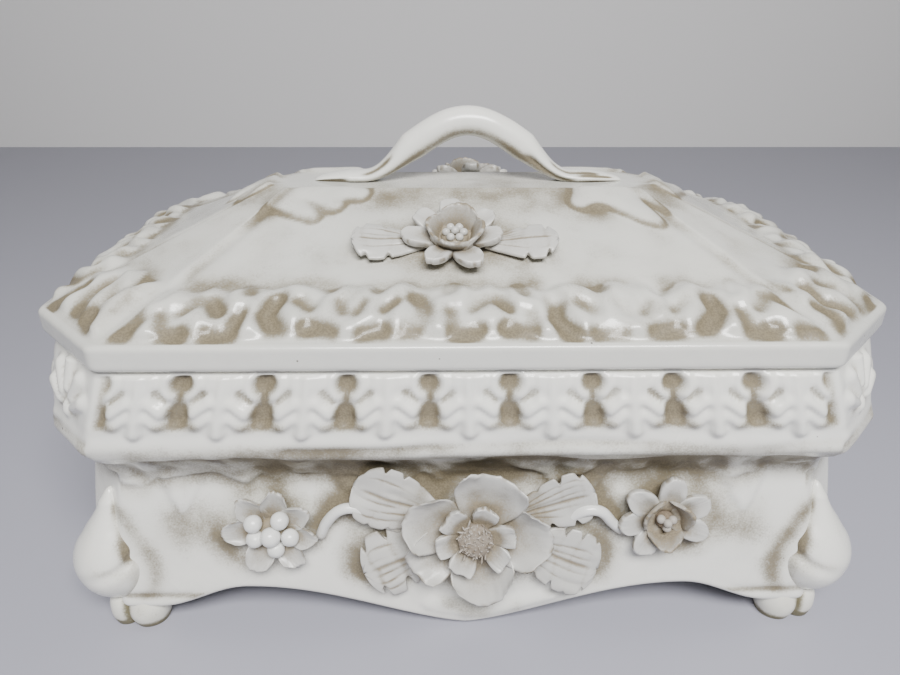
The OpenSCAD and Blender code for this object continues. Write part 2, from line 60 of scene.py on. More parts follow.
# -------------------- driving sizes, mm
LID_HIGH = box_mm("lid_shell")[1]
LID_HALF, ROOF_Z = LID_HIGH[:2], LID_HIGH[2]
MOUTH_Z = box_mm("box_body")[1][2]
RIM_H = 9.5
EDGE_Z = MOUTH_Z + RIM_H
FLAT_HALF = np.array([74.6, 14.1])
EDGE_R = 2.0
LID_CUT, TOP_CUT = 31.0, 6.0
LID_T = 6.0
FLANGE_T = 4.5
LID_FIT = 1.6

WALL = 6.0
FLOOR_UNDER, FLOOR_TOP = 27.0, 32.0
MOUTH_HALF = LID_HALF - [5.5, 2.5]
RIDGE_HALF = MOUTH_HALF + 3.0
WAIST_HALF = RIDGE_HALF - [5.0, 13.0]
SKIRT_HALF = RIDGE_HALF - 0.5
BAND_H, SHOULDER_H = 23.0, 26.0
RIDGE_Z = MOUTH_Z - BAND_H
WAIST_Z = RIDGE_Z - SHOULDER_H
MOUTH_CUT, WAIST_CUT = 26.0, 17.0
CUT_PER_INSET = 2 - sqrt(2)
FRONT_LOBE_Z, END_LOBE_Z, ARCH_Z, CORNER_EDGE_Z = 1.0, 9.0, 18.5, 10.0
ARCH_SHARE, CORNER_SHARE, LOBE_CURVE = 0.57, 0.8, 1.4
MOUTH_R, SKIRT_R, SOFT_BODY, SOFT_LID = 1.5, 2.4, 2.6, 2.0

# The origins of the sprays on the wall and on the lid
SPRAY_X, SPRAY_Z = 2.8, WAIST_Z * 0.6875
SPRAY_LOW_Z = WAIST_Z * 0.1875
LID_SPRAY_X, LID_SPRAY_Y = -4.1, 44.8

CORNERS = {
    "front_left": (-1, -1),
    "front_right": (1, -1),
    "back_left": (-1, 1),
    "back_right": (1, 1),
}
SIDES = {"front": 0.0, "back": 180.0}
GRID = 1.0  # spacing of the casting's mesh


# -------------------- small mathematics
def mix(a, b, t):
    return a + (b - a) * t


def clip01(t):
    return np.clip(t, 0.0, 1.0)


def ease(t):
    return (1 - np.cos(np.pi * clip01(t))) / 2


def step(low, high, t):
    """Smooth 0 to 1 as t goes from low to high; the other way round if high is below low."""
    s = clip01((t - low) / (high - low))
    return s * s * (3 - 2 * s)


def bell(t, width):
    return np.exp(-((t / width) ** 2))


def dome(t):
    """Height of a round: 1 at t = 0, 0 at t = 1."""
    return np.sqrt(clip01(1 - t ** 2))


def unit(v):
    return v / np.maximum(np.linalg.norm(v, axis=-1, keepdims=True), 1e-9)


def arc(angles):
    """Sine and cosine of angles in degrees, for rounded edges."""
    return [(sin(radians(a)), cos(radians(a))) for a in angles]


def circle(columns):
    """Angles of the columns of a ring."""
    return np.arange(columns) / columns * 2 * np.pi


def from_angle(turn, middle):
    """Signed angle from middle, given in degrees, to turn."""
    return np.angle(np.exp(1j * (turn - radians(middle))))


def hashed(i, j, k, seed):
    n = i * 374761393 + j * 668265263 + k * 1440662683 + seed * 974634777
    n = (n ^ (n >> 13)) * 1274126177
    return ((n ^ (n >> 16)) & 0xFFFFFF) / float(0x7FFFFF) - 1.0


def noise(points, size, seed=0):
    """Smooth noise from -1 to 1 at points, with lumps about size millimetres across."""
    q = np.asarray(points, float) / size
    cell = np.floor(q).astype(np.int64)
    f = q - cell
    f = f * f * (3 - 2 * f)
    total = 0.0
    for corner in range(8):
        near = np.array([corner & 1, corner >> 1 & 1, corner >> 2 & 1])
        weight = np.where(near, f, 1 - f).prod(-1)
        total = total + weight * hashed(*np.moveaxis(cell + near, -1, 0), seed)
    return total


def flat_noise(a, b, size, seed=0):
    return noise(np.stack([a, b, np.zeros_like(a) + 0.5], -1), size, seed)


def along_bar(a, b, start, end):
    """Distance from a straight bar, and the share along it of its nearest point."""
    d = np.array(end, float) - start
    t = clip01(((a - start[0]) * d[0] + (b - start[1]) * d[1]) / max(d @ d, 1e-9))
    return np.hypot(a - start[0] - t * d[0], b - start[1] - t * d[1]), t


def lobe(a, b, start, end, r0, r1):
    """A tapered, round-topped lobe: 1 on its spine, 0 at its edge."""
    away, t = along_bar(a, b, start, end)
    return dome(away / mix(r0, r1, t))


def pillow(a, b, start, end, r0, r1):
    """A soft raised lobe with sloping sides, from 0 to 1."""
    return step(0.0, 0.85, lobe(a, b, start, end, 1.08 * r0, 1.08 * r1) ** 2)


def pillows(a, b, rows):
    """The highest of [height, start, end, radius at start, radius at end] at each point."""
    return np.maximum.reduce([tall * pillow(a, b, *shape) for tall, *shape in rows])


# -------------------- meshes
class Piece:
    """Closed shells gathered into one mesh, with a value at each vertex for brown wash and, in places,
    painted shade.
    """

    def __init__(self):
        self.points, self.faces, self.wash, self.count = [], [], [], 0

    def add(self, points, faces, wash):
        self.points.append(points)
        self.faces += [tuple(self.count + i for i in f) for f in faces]
        self.wash.append(wash)
        self.count += len(points)

    def move(self, transform):
        self.points = [transform(p) for p in self.points]
        return self

    def make(self, name, body, node, material, slot):
        mesh = bpy.data.meshes.new(name)
        mesh.from_pydata((np.concatenate(self.points) * MM).tolist(), [], self.faces)
        work = bmesh.new()
        work.from_mesh(mesh)
        bmesh.ops.recalc_face_normals(work, faces=work.faces)
        work.to_mesh(mesh)
        work.free()
        attribute = mesh.attributes.new("wash", "FLOAT", "POINT")
        attribute.data.foreach_set("value", np.concatenate(self.wash).astype(np.float32))
        mesh.polygons.foreach_set("use_smooth", [True] * len(mesh.polygons))
        mesh.materials.append(material)
        made = bpy.data.objects.new(name, mesh)
        bpy.context.scene.collection.objects.link(made)
        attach(made, body)
        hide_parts(node)


def ring_faces(rows, columns):
    """Quads between closed rings, with triangle fans to a middle point at each end."""
    faces, total = [], rows * columns
    for i in range(rows - 1):
        for j in range(columns):
            a, b = i * columns + j, i * columns + (j + 1) % columns
            faces.append((a, b, b + columns, a + columns))
    last = total - columns
    for j in range(columns):
        k = (j + 1) % columns
        faces += [(total, k, j), (total + 1, last + j, last + k)]
    return faces


def add_rings(piece, rings, wash, first=None, last=None):
    """Adds a closed solid through rings (rows, columns, 3), ending in two middle points."""
    rings = np.asarray(rings, float)
    rows, columns = rings.shape[:2]
    first = rings[0].mean(0) if first is None else first
    last = rings[-1].mean(0) if last is None else last
    points = np.concatenate([rings.reshape(-1, 3), [first], [last]])
    wash = np.broadcast_to(wash, (rows, columns))
    values = np.concatenate([wash.ravel(), [wash[0].mean()], [wash[-1].mean()]])
    piece.add(points, ring_faces(rows, columns), values)


def add_sheet(piece, upper, lower, wash):
    """Adds a closed sheet between two grids of points (rows, columns, 3)."""
    rows, columns = upper.shape[:2]
    count = rows * columns
    index = np.arange(count).reshape(rows, columns)
    faces = []
    for i in range(rows - 1):
        for j in range(columns - 1):
            a, b, c, d = index[i, j], index[i + 1, j], index[i + 1, j + 1], index[i, j + 1]
            faces += [(a, d, c, b), (a + count, b + count, c + count, d + count)]
    rim = [*index[0, :-1], *index[:-1, -1], *index[-1, :0:-1], *index[:0:-1, 0]]
    for a, b in zip(rim, rim[1:] + rim[:1]):
        faces.append((b, a, a + count, b + count))
    points = np.concatenate([upper.reshape(-1, 3), lower.reshape(-1, 3)])
    piece.add(points, faces, np.concatenate([wash.ravel(), wash.ravel()]))


def grid_normals(rings):
    """Normals of a grid whose columns close on themselves."""
    along = np.roll(rings, -1, 1) - np.roll(rings, 1, 1)
    return unit(np.cross(along, np.gradient(rings, axis=0)))


def soften(rings, width, spacing):
    """Rounds a plan's corners: a blur along closed columns, in x and y."""
    reach = int(3 * width / spacing) + 1
    offsets = np.arange(-reach, reach + 1)
    weights = bell(offsets * spacing, width)
    weights /= weights.sum()
    out = rings.copy()
    out[..., :2] = sum(w * np.roll(rings[..., :2], o, 1) for o, w in zip(offsets, weights))
    return out


def blurred(height, passes):
    """A height field softened over its neighbours, as thick glaze softens modelling."""
    for _ in range(passes):
        height = (np.roll(height, 1, 1) + 2 * height + np.roll(height, -1, 1)) / 4
        padded = np.concatenate([height[:1], height, height[-1:]])
        height = (padded[:-2] + 2 * padded[1:-1] + padded[2:]) / 4
    return height


# -------------------- the eight-sided plan
# For each corner of the plan: signs of x and y, and which of them the cut shortens
CORNER_SIGN = np.array([(-1, -1), (1, -1), (1, -1), (1, 1), (1, 1), (-1, 1), (-1, 1), (-1, -1)], float)
CORNER_CUT = np.array([(1, 0), (1, 0), (0, 1), (0, 1), (1, 0), (1, 0), (0, 1), (0, 1)], float)
FRONT, RIGHT, BACK, LEFT = 0, 2, 4, 6


def side_ends(side, half, cut):
    """Both ends of a side, or of the side of each column."""
    return [CORNER_SIGN[i] * (half - CORNER_CUT[i] * cut) for i in (side, (side + 1) % 8)]


def plan_columns(half, cut):
    """Side number and share along it of each column, about GRID apart on the given plan."""
    side, share = [], []
    for i in range(8):
        a, b = side_ends(i, half, cut)
        count = max(4, round(np.linalg.norm(b - a) / GRID))
        side += [i] * count
        share += list(np.arange(count) / count)
    return np.array(side), np.array(share)


def plan_ring(side, share, half, cut, z):
    """A ring of points; half (2 or n by 2), cut and z may vary from column to column."""
    half = np.broadcast_to(half, (len(side), 2))
    cut, z = (np.broadcast_to(v, (len(side),))[:, None] for v in (cut, z))
    a, b = side_ends(side, half, cut)
    return np.concatenate([mix(a, b, share[:, None]), z], 1)


def on_sides(side, *names):
    return np.isin(side, names)


def along_side(side, points):
    """Signed distance along each side from its middle, increasing anticlockwise."""
    x, y = points[..., 0], points[..., 1]
    along = np.select([side == FRONT, side == BACK, side == RIGHT], [x, -x, y], -y)
    for i, value in {1: x + y, 3: y - x, 5: -x - y, 7: x - y}.items():
        middle = value[..., side == i].mean(-1, keepdims=True)
        along = np.where(side == i, (value - middle) * np.sqrt(0.5), along)
    return along


def half_length(side, half, cut):
    """Half the length of each column's side."""
    straight = np.where(on_sides(side, FRONT, BACK), half[0] - cut, half[1] - cut)
    return np.where(side % 2 == 1, cut * sqrt(0.5), straight)


# -------------------- the casket's profile
def wall_half(z):
    z = np.asarray(z, float)[..., None]
    band = mix(RIDGE_HALF, MOUTH_HALF, clip01((z - RIDGE_Z) / BAND_H) ** 2)
    shoulder = mix(WAIST_HALF, RIDGE_HALF, ease((z - WAIST_Z) / SHOULDER_H))
    skirt = mix(SKIRT_HALF, WAIST_HALF, clip01(z / WAIST_Z) ** 1.5)
    return np.where(z > RIDGE_Z, band, np.where(z > WAIST_Z, shoulder, skirt))


def wall_cut(z):
    return mix(WAIST_CUT, MOUTH_CUT, ease((z - WAIST_Z) / (MOUTH_Z - WAIST_Z)))


def skirt_edge(side, share):
    """Height of the scalloped edge at each column."""
    at = np.abs(plan_ring(side, share, SKIRT_HALF, WAIST_CUT, 0)[:, :2]) / SKIRT_HALF
    end = on_sides(side, RIGHT, LEFT)
    part = np.where(end, at[:, 1], at[:, 0])
    low = np.where(end, END_LOBE_Z, FRONT_LOBE_Z)
    arch = mix(low, ARCH_Z, np.sin(np.pi / 2 * clip01(part / ARCH_SHARE)) ** LOBE_CURVE)
    rest = mix(ARCH_Z, CORNER_EDGE_Z, ease((part - ARCH_SHARE) / (CORNER_SHARE - ARCH_SHARE)))
    return np.where(side % 2 == 1, CORNER_EDGE_Z, np.where(part < ARCH_SHARE, arch, rest))


# The leans of the wall and of the slope that the sprays lie on
SPRAY_LEAN = atan2(float(wall_half(SPRAY_LOW_Z)[1] - WAIST_HALF[1]), WAIST_Z - SPRAY_LOW_Z)
ROOF_ANGLE = atan2(ROOF_Z - EDGE_Z, LID_HALF[1] - EDGE_R - FLAT_HALF[1])


def turned(points, angle, axis):
    """Points turned about a coordinate axis by degrees, anticlockwise seen from the axis' positive end."""
    c, s = cos(radians(angle)), sin(radians(angle))
    i, j = [(1, 2), (2, 0), (0, 1)][axis]
    out = np.array(points, float)
    out[..., i] = c * points[..., i] - s * points[..., j]
    out[..., j] = s * points[..., i] + c * points[..., j]
    return out


def on_wall(at, turn):
    """Brings points drawn flat, with +Z outwards, to the wall of the box."""
    origin = np.array([SPRAY_X, -float(wall_half(SPRAY_Z)[1]), SPRAY_Z])

    def place(points):
        moved = turned(points + [*at, 0], 90 - degrees(SPRAY_LEAN), 0)
        return turned(moved + origin, turn, 2)

    return place


def on_slope(turn):
    """Brings points drawn flat, with +Z outwards, to a long slope of the lid."""
    drop = (LID_SPRAY_Y - FLAT_HALF[1]) * tan(ROOF_ANGLE)
    origin = np.array([LID_SPRAY_X, -LID_SPRAY_Y, ROOF_Z - drop])

    def place(points):
        return turned(turned(points, degrees(ROOF_ANGLE), 0) + origin, turn, 2)

    return place


# -------------------- materials
GLAZE_IOR, COAT_ROUGHNESS, RIPPLE_DEPTH = 1.5, 0.16, 0.0006
SPECK = (0.12, 0.10, 0.08)


def rgba(colour, gain=1.0):
    return (*(c * gain for c in colour), 1.0)


def glaze(name, ivory, depth, umber, roughness, coat, stipple, bump):
    """Glazed ceramic: ivory, deepening towards umber where the vertex attribute is high; it holds brown wash
    and, in places, painted shade.
    """
    material = bpy.data.materials.new(name)
    material.use_nodes = True
    nodes, link = material.node_tree.nodes, material.node_tree.links.new
    nodes.clear()

    def node(kind, inputs, **settings):
        """A new node; each of its inputs named gets a number, a colour or a link."""
        made = nodes.new("ShaderNode" + kind)
        for key, value in settings.items():
            setattr(made, key, value)
        for key, value in inputs.items():
            if isinstance(value, bpy.types.NodeSocket):
                link(value, made.inputs[key])
            else:
                made.inputs[key].default_value = value
        return made

    out = node("OutputMaterial", {})
    surface = {"IOR": GLAZE_IOR, "Coat Weight": coat, "Coat Roughness": COAT_ROUGHNESS}
    shader = node("BsdfPrincipled", surface)
    link(shader.outputs[0], out.inputs[0])
    place = node("TexCoord", {}).outputs["Object"]

    def texture(scale, detail=2.0, rough=0.5):
        inputs = {"Scale": scale, "Detail": detail, "Roughness": rough, "Vector": place}
        return node("TexNoise", inputs).outputs["Fac"]

    def remap(value, low, high, to_low=0.0, to_high=1.0):
        inputs = {"From Min": low, "From Max": high, "To Min": to_low, "To Max": to_high, "Value": value}
        return node("MapRange", inputs, interpolation_type="SMOOTHSTEP").outputs[0]

    def plus(a, b, kind="ADD"):
        return node("Math", {0: a, 1: b}, operation=kind).outputs[0]

    def times(a, b):
        return plus(a, b, "MULTIPLY")

    def blend(factor, a, b):
        # inputs 6 and 7 and output 2 are the mix node's colours
        return node("Mix", {0: factor, 6: a, 7: b}, data_type="RGBA").outputs[2]

    # level: brown wash, with painted shade in the neck, the petals and the lid's slopes
    level = node("Attribute", {}, attribute_name="wash").outputs["Fac"]
    grain = texture(1500.0, 1.0, 0.6)
    patch = texture(110.0, 3.0, 0.6)
    # The wash is dabbed on: its edge breaks into grains and follows soft patches
    broken = plus(level, times(plus(grain, 0.5, "SUBTRACT"), stipple))
    broken = plus(broken, times(plus(patch, 0.5, "SUBTRACT"), 0.7))
    cover = remap(broken, 0.18, 0.95)
    thin = remap(level, 0.02, 0.55, 0.0, 0.55)
    tone = remap(texture(14.0), 0.35, 0.7)
    warmer = rgba([c * k for c, k in zip(ivory, (0.965, 0.975, 0.985))])
    pale = blend(tone, rgba(ivory), warmer)
    veiled = blend(thin, pale, rgba(depth))
    dabs = blend(remap(grain, 0.35, 0.65), rgba(umber), rgba(umber, 1.35))
    colour = blend(cover, veiled, dabs)
    # A few dark iron specks in the glaze
    cells = node("TexVoronoi", {"Scale": 95.0, "Vector": place})
    near = remap(cells.outputs["Distance"], 0.045, 0.03)
    chosen = remap(texture(60.0, 0.0), 0.64, 0.66)
    colour = blend(times(near, chosen), colour, rgba(SPECK))
    link(colour, shader.inputs["Base Color"])
    # The wash is duller than the glaze, and sandy where the glaze has an orange-peel ripple
    dull = plus(times(cover, 0.34), remap(texture(45.0), 0.3, 0.7, roughness, roughness + 0.08))
    link(dull, shader.inputs["Roughness"])
    ripple = plus(texture(160.0, 1.0), times(times(grain, cover), 0.35))
    relief = node("Bump", {"Strength": bump, "Distance": RIPPLE_DEPTH, "Height": ripple})
    link(relief.outputs[0], shader.inputs["Normal"])
    return material


# [name, colour of bare glaze, of glaze over thin wash, of thick wash, roughness, coat, stipple, bump]
IVORY, ROOF_SHADED, PETAL_SHADED, TRIM, STAMEN, FOOT = (glaze(*row) for row in [
    ("ivory_glaze", (0.82, 0.81, 0.755), (0.52, 0.50, 0.425), (0.15, 0.125, 0.08), 0.22, 0.4, 0.55, 0.35),
    # the roof glaze is the ivory glaze darkened as painted shade, to dim the lid's slopes
    ("roof_glaze_painted_shade", (0.66, 0.655, 0.61), (0.43, 0.41, 0.35), (0.15, 0.125, 0.08), 0.22, 0.4, 0.55, 0.35),
    # the petal glaze is a cooler ivory darkened to grey as painted shade; petals and leaves use it
    ("petal_glaze_painted_shade", (0.55, 0.54, 0.51), (0.33, 0.31, 0.27), (0.19, 0.158, 0.11), 0.32, 0.2, 0.6, 0.45),
    ("trim_glaze", (0.79, 0.785, 0.755), (0.52, 0.50, 0.45), (0.20, 0.165, 0.11), 0.24, 0.35, 0.5, 0.35),
    ("stamen_wash", (0.42, 0.385, 0.34), (0.30, 0.26, 0.21), (0.15, 0.115, 0.08), 0.55, 0.0, 0.6, 0.5),
    ("foot_glaze", (0.77, 0.755, 0.68), (0.50, 0.47, 0.37), (0.12, 0.105, 0.055), 0.28, 0.25, 0.6, 0.35),
])


# -------------------- relief of the casket body
MOTIF_PITCH = 26.0
# Lobes of the band's leaves: [height mm, start, end, radius at start, radius at end], measured
# across from the middle of the gap between two leaves and up from the widest line
BAND_LOBES = [
    (2.4, (4.9, 8.4), (10.0, 12.2), 2.5, 1.9),
    (1.8, (6.2, 3.8), (10.4, 7.2), 2.2, 1.6),
    (1.6, (8.8, 14.0), (9.4, 20.5), 1.7, 2.4),
]
# The same, across from the middle of a leaf
BAND_SPINE = [(2.3, (0, 3.0), (0, 21.0), 2.6, 1.8), (2.6, (0, 1.2), (0, 5.5), 2.7, 2.2)]
BAND_STREAK = [(1.0, (4.4, 12.4), (7.8, 15.6), 1.3, 1.5)]
EYE_UP, EYE_R, RECESS_DEEP = 18.2, 3.5, 2.2
FAN_ANGLES, FAN_REACH, FAN_ROOT = (-60, -31, 0, 31, 60), 18.0, 2.5
LIP_Z, FOLD_Z, HEM_Z = 79.5, 86.0, 66.0


def band_relief(along, z, reach):
    """The row of small leaves round the band: relief in mm and wash."""
    up = z - RIDGE_Z  # 0 at the widest line, BAND_H at the mouth
    gap = np.abs(along % MOTIF_PITCH - MOTIF_PITCH / 2)
    leaf = MOTIF_PITCH / 2 - gap
    # the recess between two leaves is a round eye, a narrow neck and a drop below it
    hole = np.hypot(gap, up - EYE_UP)
    neck = np.hypot(gap, np.maximum(0, np.abs(up - 11.5) - 5)) - 1.3
    drop = np.hypot(gap, (up - 7.6) * 0.8) - 3.7
    sunk = step(1.5, -1.5, np.minimum.reduce([hole - EYE_R, neck, drop]))
    inside = step(reach + 1, reach - 5, np.abs(along))
    rim = bell(hole - 5.3, 1.25) * step(1.2, 3.4, gap) * step(11.5, 13.5, up)
    height = np.maximum(pillows(gap, up, BAND_LOBES), pillows(leaf, up, BAND_SPINE))
    streak = pillows(gap, up, BAND_STREAK)
    height = (np.maximum(height, 1.9 * rim) - streak - RECESS_DEEP * sunk) * inside
    fade = step(BAND_H + 0.5, BAND_H - 2.5, up) * step(-1.5, 1.5, up)
    skirt = bell(up - 3.2, 2.0) * step(9.8, 5.0, gap)
    wash = (0.95 * sunk + 0.5 * streak + 0.6 * skirt) * fade * inside
    return height * step(BAND_H, BAND_H - 2, up) * step(-3.5, 0.0, up), wash


def palmette_relief(along, z):
    """A fan of lobes on each cut corner of the band."""
    up = z - RIDGE_Z
    rows = [(1.8, (0, 3.5), (0, 5), 3.0, 2.4)]
    for angle, (s, c) in zip(FAN_ANGLES, arc(FAN_ANGLES)):
        reach = FAN_REACH - 0.06 * abs(angle)
        root = (0.45 * reach * s, FAN_ROOT + 0.45 * reach * c)
        rows.append((2.2, root, (reach * s, FAN_ROOT + reach * c), 1.8, 3.1))
    height = pillows(along, up, rows)
    wash = 0.42 * step(0.7, 0.0, height) * step(21, 15, up) * step(0, 4, up) * step(13, 7, np.abs(along))
    return height * step(BAND_H, BAND_H - 2, up) * step(-1, 2, up), wash


def neck_relief(along, z):
    """Draped folds under the band, a wavy lip, and ruffled leaves below it, with a wash that also holds
    painted shade.
    """
    flat = np.zeros_like(along)
    sway = flat_noise(along, flat, 23, 5)
    fine = flat_noise(along, z, 8, 6)
    lip = LIP_Z + 1.8 * np.sin(along / 13.5 + 1.3) + 2.6 * sway + 0.7 * fine
    under = lip - z
    height = 2.5 * step(0.7, -0.6, under) * step(RIDGE_Z, RIDGE_Z - 6, z)
    fold = z - (FOLD_Z + 1.6 * flat_noise(along, flat, 29, 8) + 0.05 * fine)
    crease = bell(fold, 1.1) * step(-0.5, 0.2, flat_noise(along, flat, 37, 18) + 0.15)
    height = height - 1.3 * crease + 0.7 * bell(fold + 3.0, 1.6)
    # leaves hang in ruffles between the lip and the plain wall, and end in a ragged line
    hem = HEM_Z + 4.5 * flat_noise(along, flat, 15, 19) + 2.0 * flat_noise(along, flat, 5, 23)
    zone = step(-0.7, 1.2, z - hem) * step(-0.5, 2.5, under)
    ruffle = flat_noise(along + 0.35 * z, z * 0.55, 5.5, 9) + 0.4 * flat_noise(along, z, 3.5, 10)
    height = height + zone * (1.2 + 1.25 * ruffle)
    # painted shadow under the wavy lip
    shade = step(-1.2, 0.4, under) * step(8, 1.0, under) * step(-0.6, 0.5, sway + 0.4)
    below = step(0.8, -0.2, z - hem) * step(-9, -1, z - hem)
    # darker in the fold's crease and the ruffles' hollows: partly brown wash, partly painted shade
    wash = 0.60 * shade + 0.35 * crease + 0.45 * zone * clip01(-ruffle + 0.2) + 0.30 * below
    # the whole neck darkened: partly its grey-brown wash, partly painted shade where it faces down
    neck_wash_and_painted_shade = 0.60 * step(WAIST_Z - 6, WAIST_Z + 6, z) * step(RIDGE_Z - 1, RIDGE_Z - 8, z)
    return height, wash + neck_wash_and_painted_shade * (0.9 + 0.5 * sway + 0.3 * fine)


# Leaf tips that hang down the front wall: [along, top z, tip z, half width]
HANGING_LEAVES = [(-97, 66, 50, 7.5), (-40, 68, 57, 7), (96, 66, 49, 8), (42, 68, 56, 7)]
# Leaf scrolls on the middle lobe of the skirt: [start, end, radius at start, radius at end]
SKIRT_SCROLLS = [((-12, 12), (10, 6), 4, 5), ((8, 8), (30, 14), 4.5, 3)]


def spray_outline(along, z):
    """Distance in mm outside the outline of the wall's blossoms, leaves and stems."""
    x, y = along - SPRAY_X, (z - SPRAY_Z) / cos(SPRAY_LEAN)
    bars = [((0, 0), (0, 0), 25.0), (LEFT_AT, LEFT_AT, 15.0), (RIGHT_AT, RIGHT_AT, 14.0)]
    for _, angle, root, reach, wide, *_ in WALL_LEAVES:
        spot = np.array([cos(radians(angle)), sin(radians(angle))])
        bars.append((root * spot, (reach - 0.8 * wide) * spot, wide - 2.0))
    for at, points in STEMS.values():
        flat = [np.array(at) + p[:2] for p in points]
        bars += [(a, b, 1.0) for a, b in zip(flat, flat[1:])]
    return np.minimum.reduce([along_bar(x, y, a, b)[0] - radius for a, b, radius in bars])


def spray_relief(side, along, z, points):
    """The plain wall below the neck: hanging leaf tips and the wash round the blossoms."""
    face = on_sides(side, FRONT, BACK) * (z < RIDGE_Z)
    height, wash = np.zeros_like(along), np.zeros_like(along)
    for at, top, tip, width in HANGING_LEAVES:
        t = clip01((top - z) / (top - tip))
        ragged = width * (1 - t ** 1.4) * (1 + 0.16 * np.sin((along - at) * 1.1 + t * 9))
        inside = step(1.0, -0.6, np.abs(along - at) - ragged)
        inside = inside * step(tip - 0.5, tip + 1, z) * step(top + 3, top - 3, z)
        height = np.maximum(height, 1.25 * inside * (1 - 0.35 * bell(along - at, 1.0)))
        wash += 0.5 * bell(np.hypot(along - at, (z - tip + 5) * 0.9), 9) * (1 - 0.8 * inside)
    cloud = 0.7 + 0.5 * noise(points, 13, 12)
    near = spray_outline(along, z)
    wash += (0.50 * step(9, 0, near) + 0.35 * step(3, -1, near)) * cloud
    tail = clip01(sum(lobe(along, z, *row) for row in SKIRT_SCROLLS))
    height += 1.1 * tail * (1 + 0.5 * flat_noise(along, z, 5, 14))
    wash += 0.35 * tail * clip01(flat_noise(along, z, 6, 15) + 0.2)
    # wash gathered against the corner scrolls
    scroll = np.abs(points[..., 0]) - (RIDGE_HALF[0] - SCROLL_INSET[0] - 0.85 * scroll_radius(z))
    gathered = 0.75 * bell(scroll, 4.0) * cloud * step(12, 16, z) * step(56, 50, z)
    return height * face, wash * face + gathered


def make_body():
    side, share = plan_columns(MOUTH_HALF, MOUTH_CUT)
    edge = skirt_edge(side, share)
    rings = []

    def add(inset, z, scale=1.0):
        """A ring inside the wall's profile; scale draws it in towards the middle of a floor."""
        z = np.broadcast_to(z, (len(side),)).astype(float)
        half, cut = wall_half(z) - inset, wall_cut(z) - inset * CUT_PER_INSET
        rings.append(plan_ring(side, share, half * scale, cut * scale, z))

    for scale in (0.2, 0.55, 0.85, 1.0):
        add(WALL + 2, FLOOR_UNDER, scale)
    add(WALL, FLOOR_UNDER - 2)
    for t in np.linspace(0.25, 1, 4):
        add(WALL, mix(FLOOR_UNDER - 2, edge + SKIRT_R, t))
    for s, c in arc(np.linspace(0, 180, 9)[1:-1]):
        add(WALL / 2 + WALL / 2 * c, edge + SKIRT_R * (1 - s))
    first = len(rings)
    for t in np.linspace(0, 1, round((WAIST_Z - ARCH_Z) / GRID * 1.1), endpoint=False):
        add(0, mix(edge + SKIRT_R, WAIST_Z, t))
    for z in np.arange(WAIST_Z, MOUTH_Z - MOUTH_R, GRID * 0.9):
        add(0, z)
    last = len(rings)
    for s, c in arc((0, 30, 60, 90)):
        add(MOUTH_R * (1 - c), MOUTH_Z - MOUTH_R * (1 - s))
    for inset, down in ((1.2, 0), (0.3, 0.4), (0, 1.4)):
        add(WALL - inset, MOUTH_Z - down)
    for z in np.linspace(MOUTH_Z - 4, FLOOR_TOP + WALL, 24):
        add(WALL, z)
    for s, c in arc((30, 60, 90)):
        add(WALL * (2 - c), FLOOR_TOP + WALL * (1 - s))
    for scale in (0.85, 0.55, 0.2):
        add(2 * WALL, FLOOR_TOP, scale)
    rings = soften(np.array(rings), SOFT_BODY, GRID)

    outer = rings[first:last]
    z = outer[..., 2]
    mouth = plan_ring(side, share, MOUTH_HALF, MOUTH_CUT, MOUTH_Z)
    along = np.broadcast_to(along_side(side, mouth), z.shape)
    reach = np.broadcast_to(half_length(side, MOUTH_HALF, MOUTH_CUT), z.shape)
    sides = np.broadcast_to(side, z.shape)
    corner = sides % 2 == 1
    jog_a, jog_b = 0.55 * noise(outer, 17, 2), 0.55 * noise(outer + 90, 17, 3)
    band, band_wash = band_relief(along + jog_a, z + jog_b, reach)
    fan, fan_wash = palmette_relief(along + jog_a, z + jog_b)
    neck, neck_wash = neck_relief(along, z)
    wall, wall_wash = spray_relief(sides, along, z, outer)
    height = np.where(corner, fan, band) + neck * step(RIDGE_Z + 1, RIDGE_Z - 1, z)
    height += wall + 0.25 * noise(outer, 26, 4) + 0.08 * noise(outer, 7, 7)
    foot_line = bell(z - (CORNER_EDGE_Z + 6.0), 1.3) * step(0.62, 0.8, np.abs(along) / reach)
    height -= 0.8 * foot_line
    height = blurred(height, 1) * step(0, 3 * GRID, np.abs(z - z[0]) + 0.35)
    rings[first:last] = outer + grid_normals(outer) * height[..., None]

    wash = np.zeros(rings.shape[:2])
    # the neck's share holds painted shade as well as brown wash
    wash[first:last] = np.where(corner, fan_wash, band_wash) + neck_wash + wall_wash
    wash[first:last] += 0.6 * foot_line + 0.06 + 0.10 * noise(outer, 34, 20)
    wash[:first] = 0.15 + 0.1 * noise(rings[:first], 20, 21)
    wash[last:] = 0.05 + 0.08 * noise(rings[last:], 25, 22)
    piece = Piece()
    add_rings(piece, rings, wash, [0, 0, FLOOR_UNDER], [0, 0, FLOOR_TOP])
    piece.make("casket_body", "box", "box_body", IVORY, "ivory_glaze")


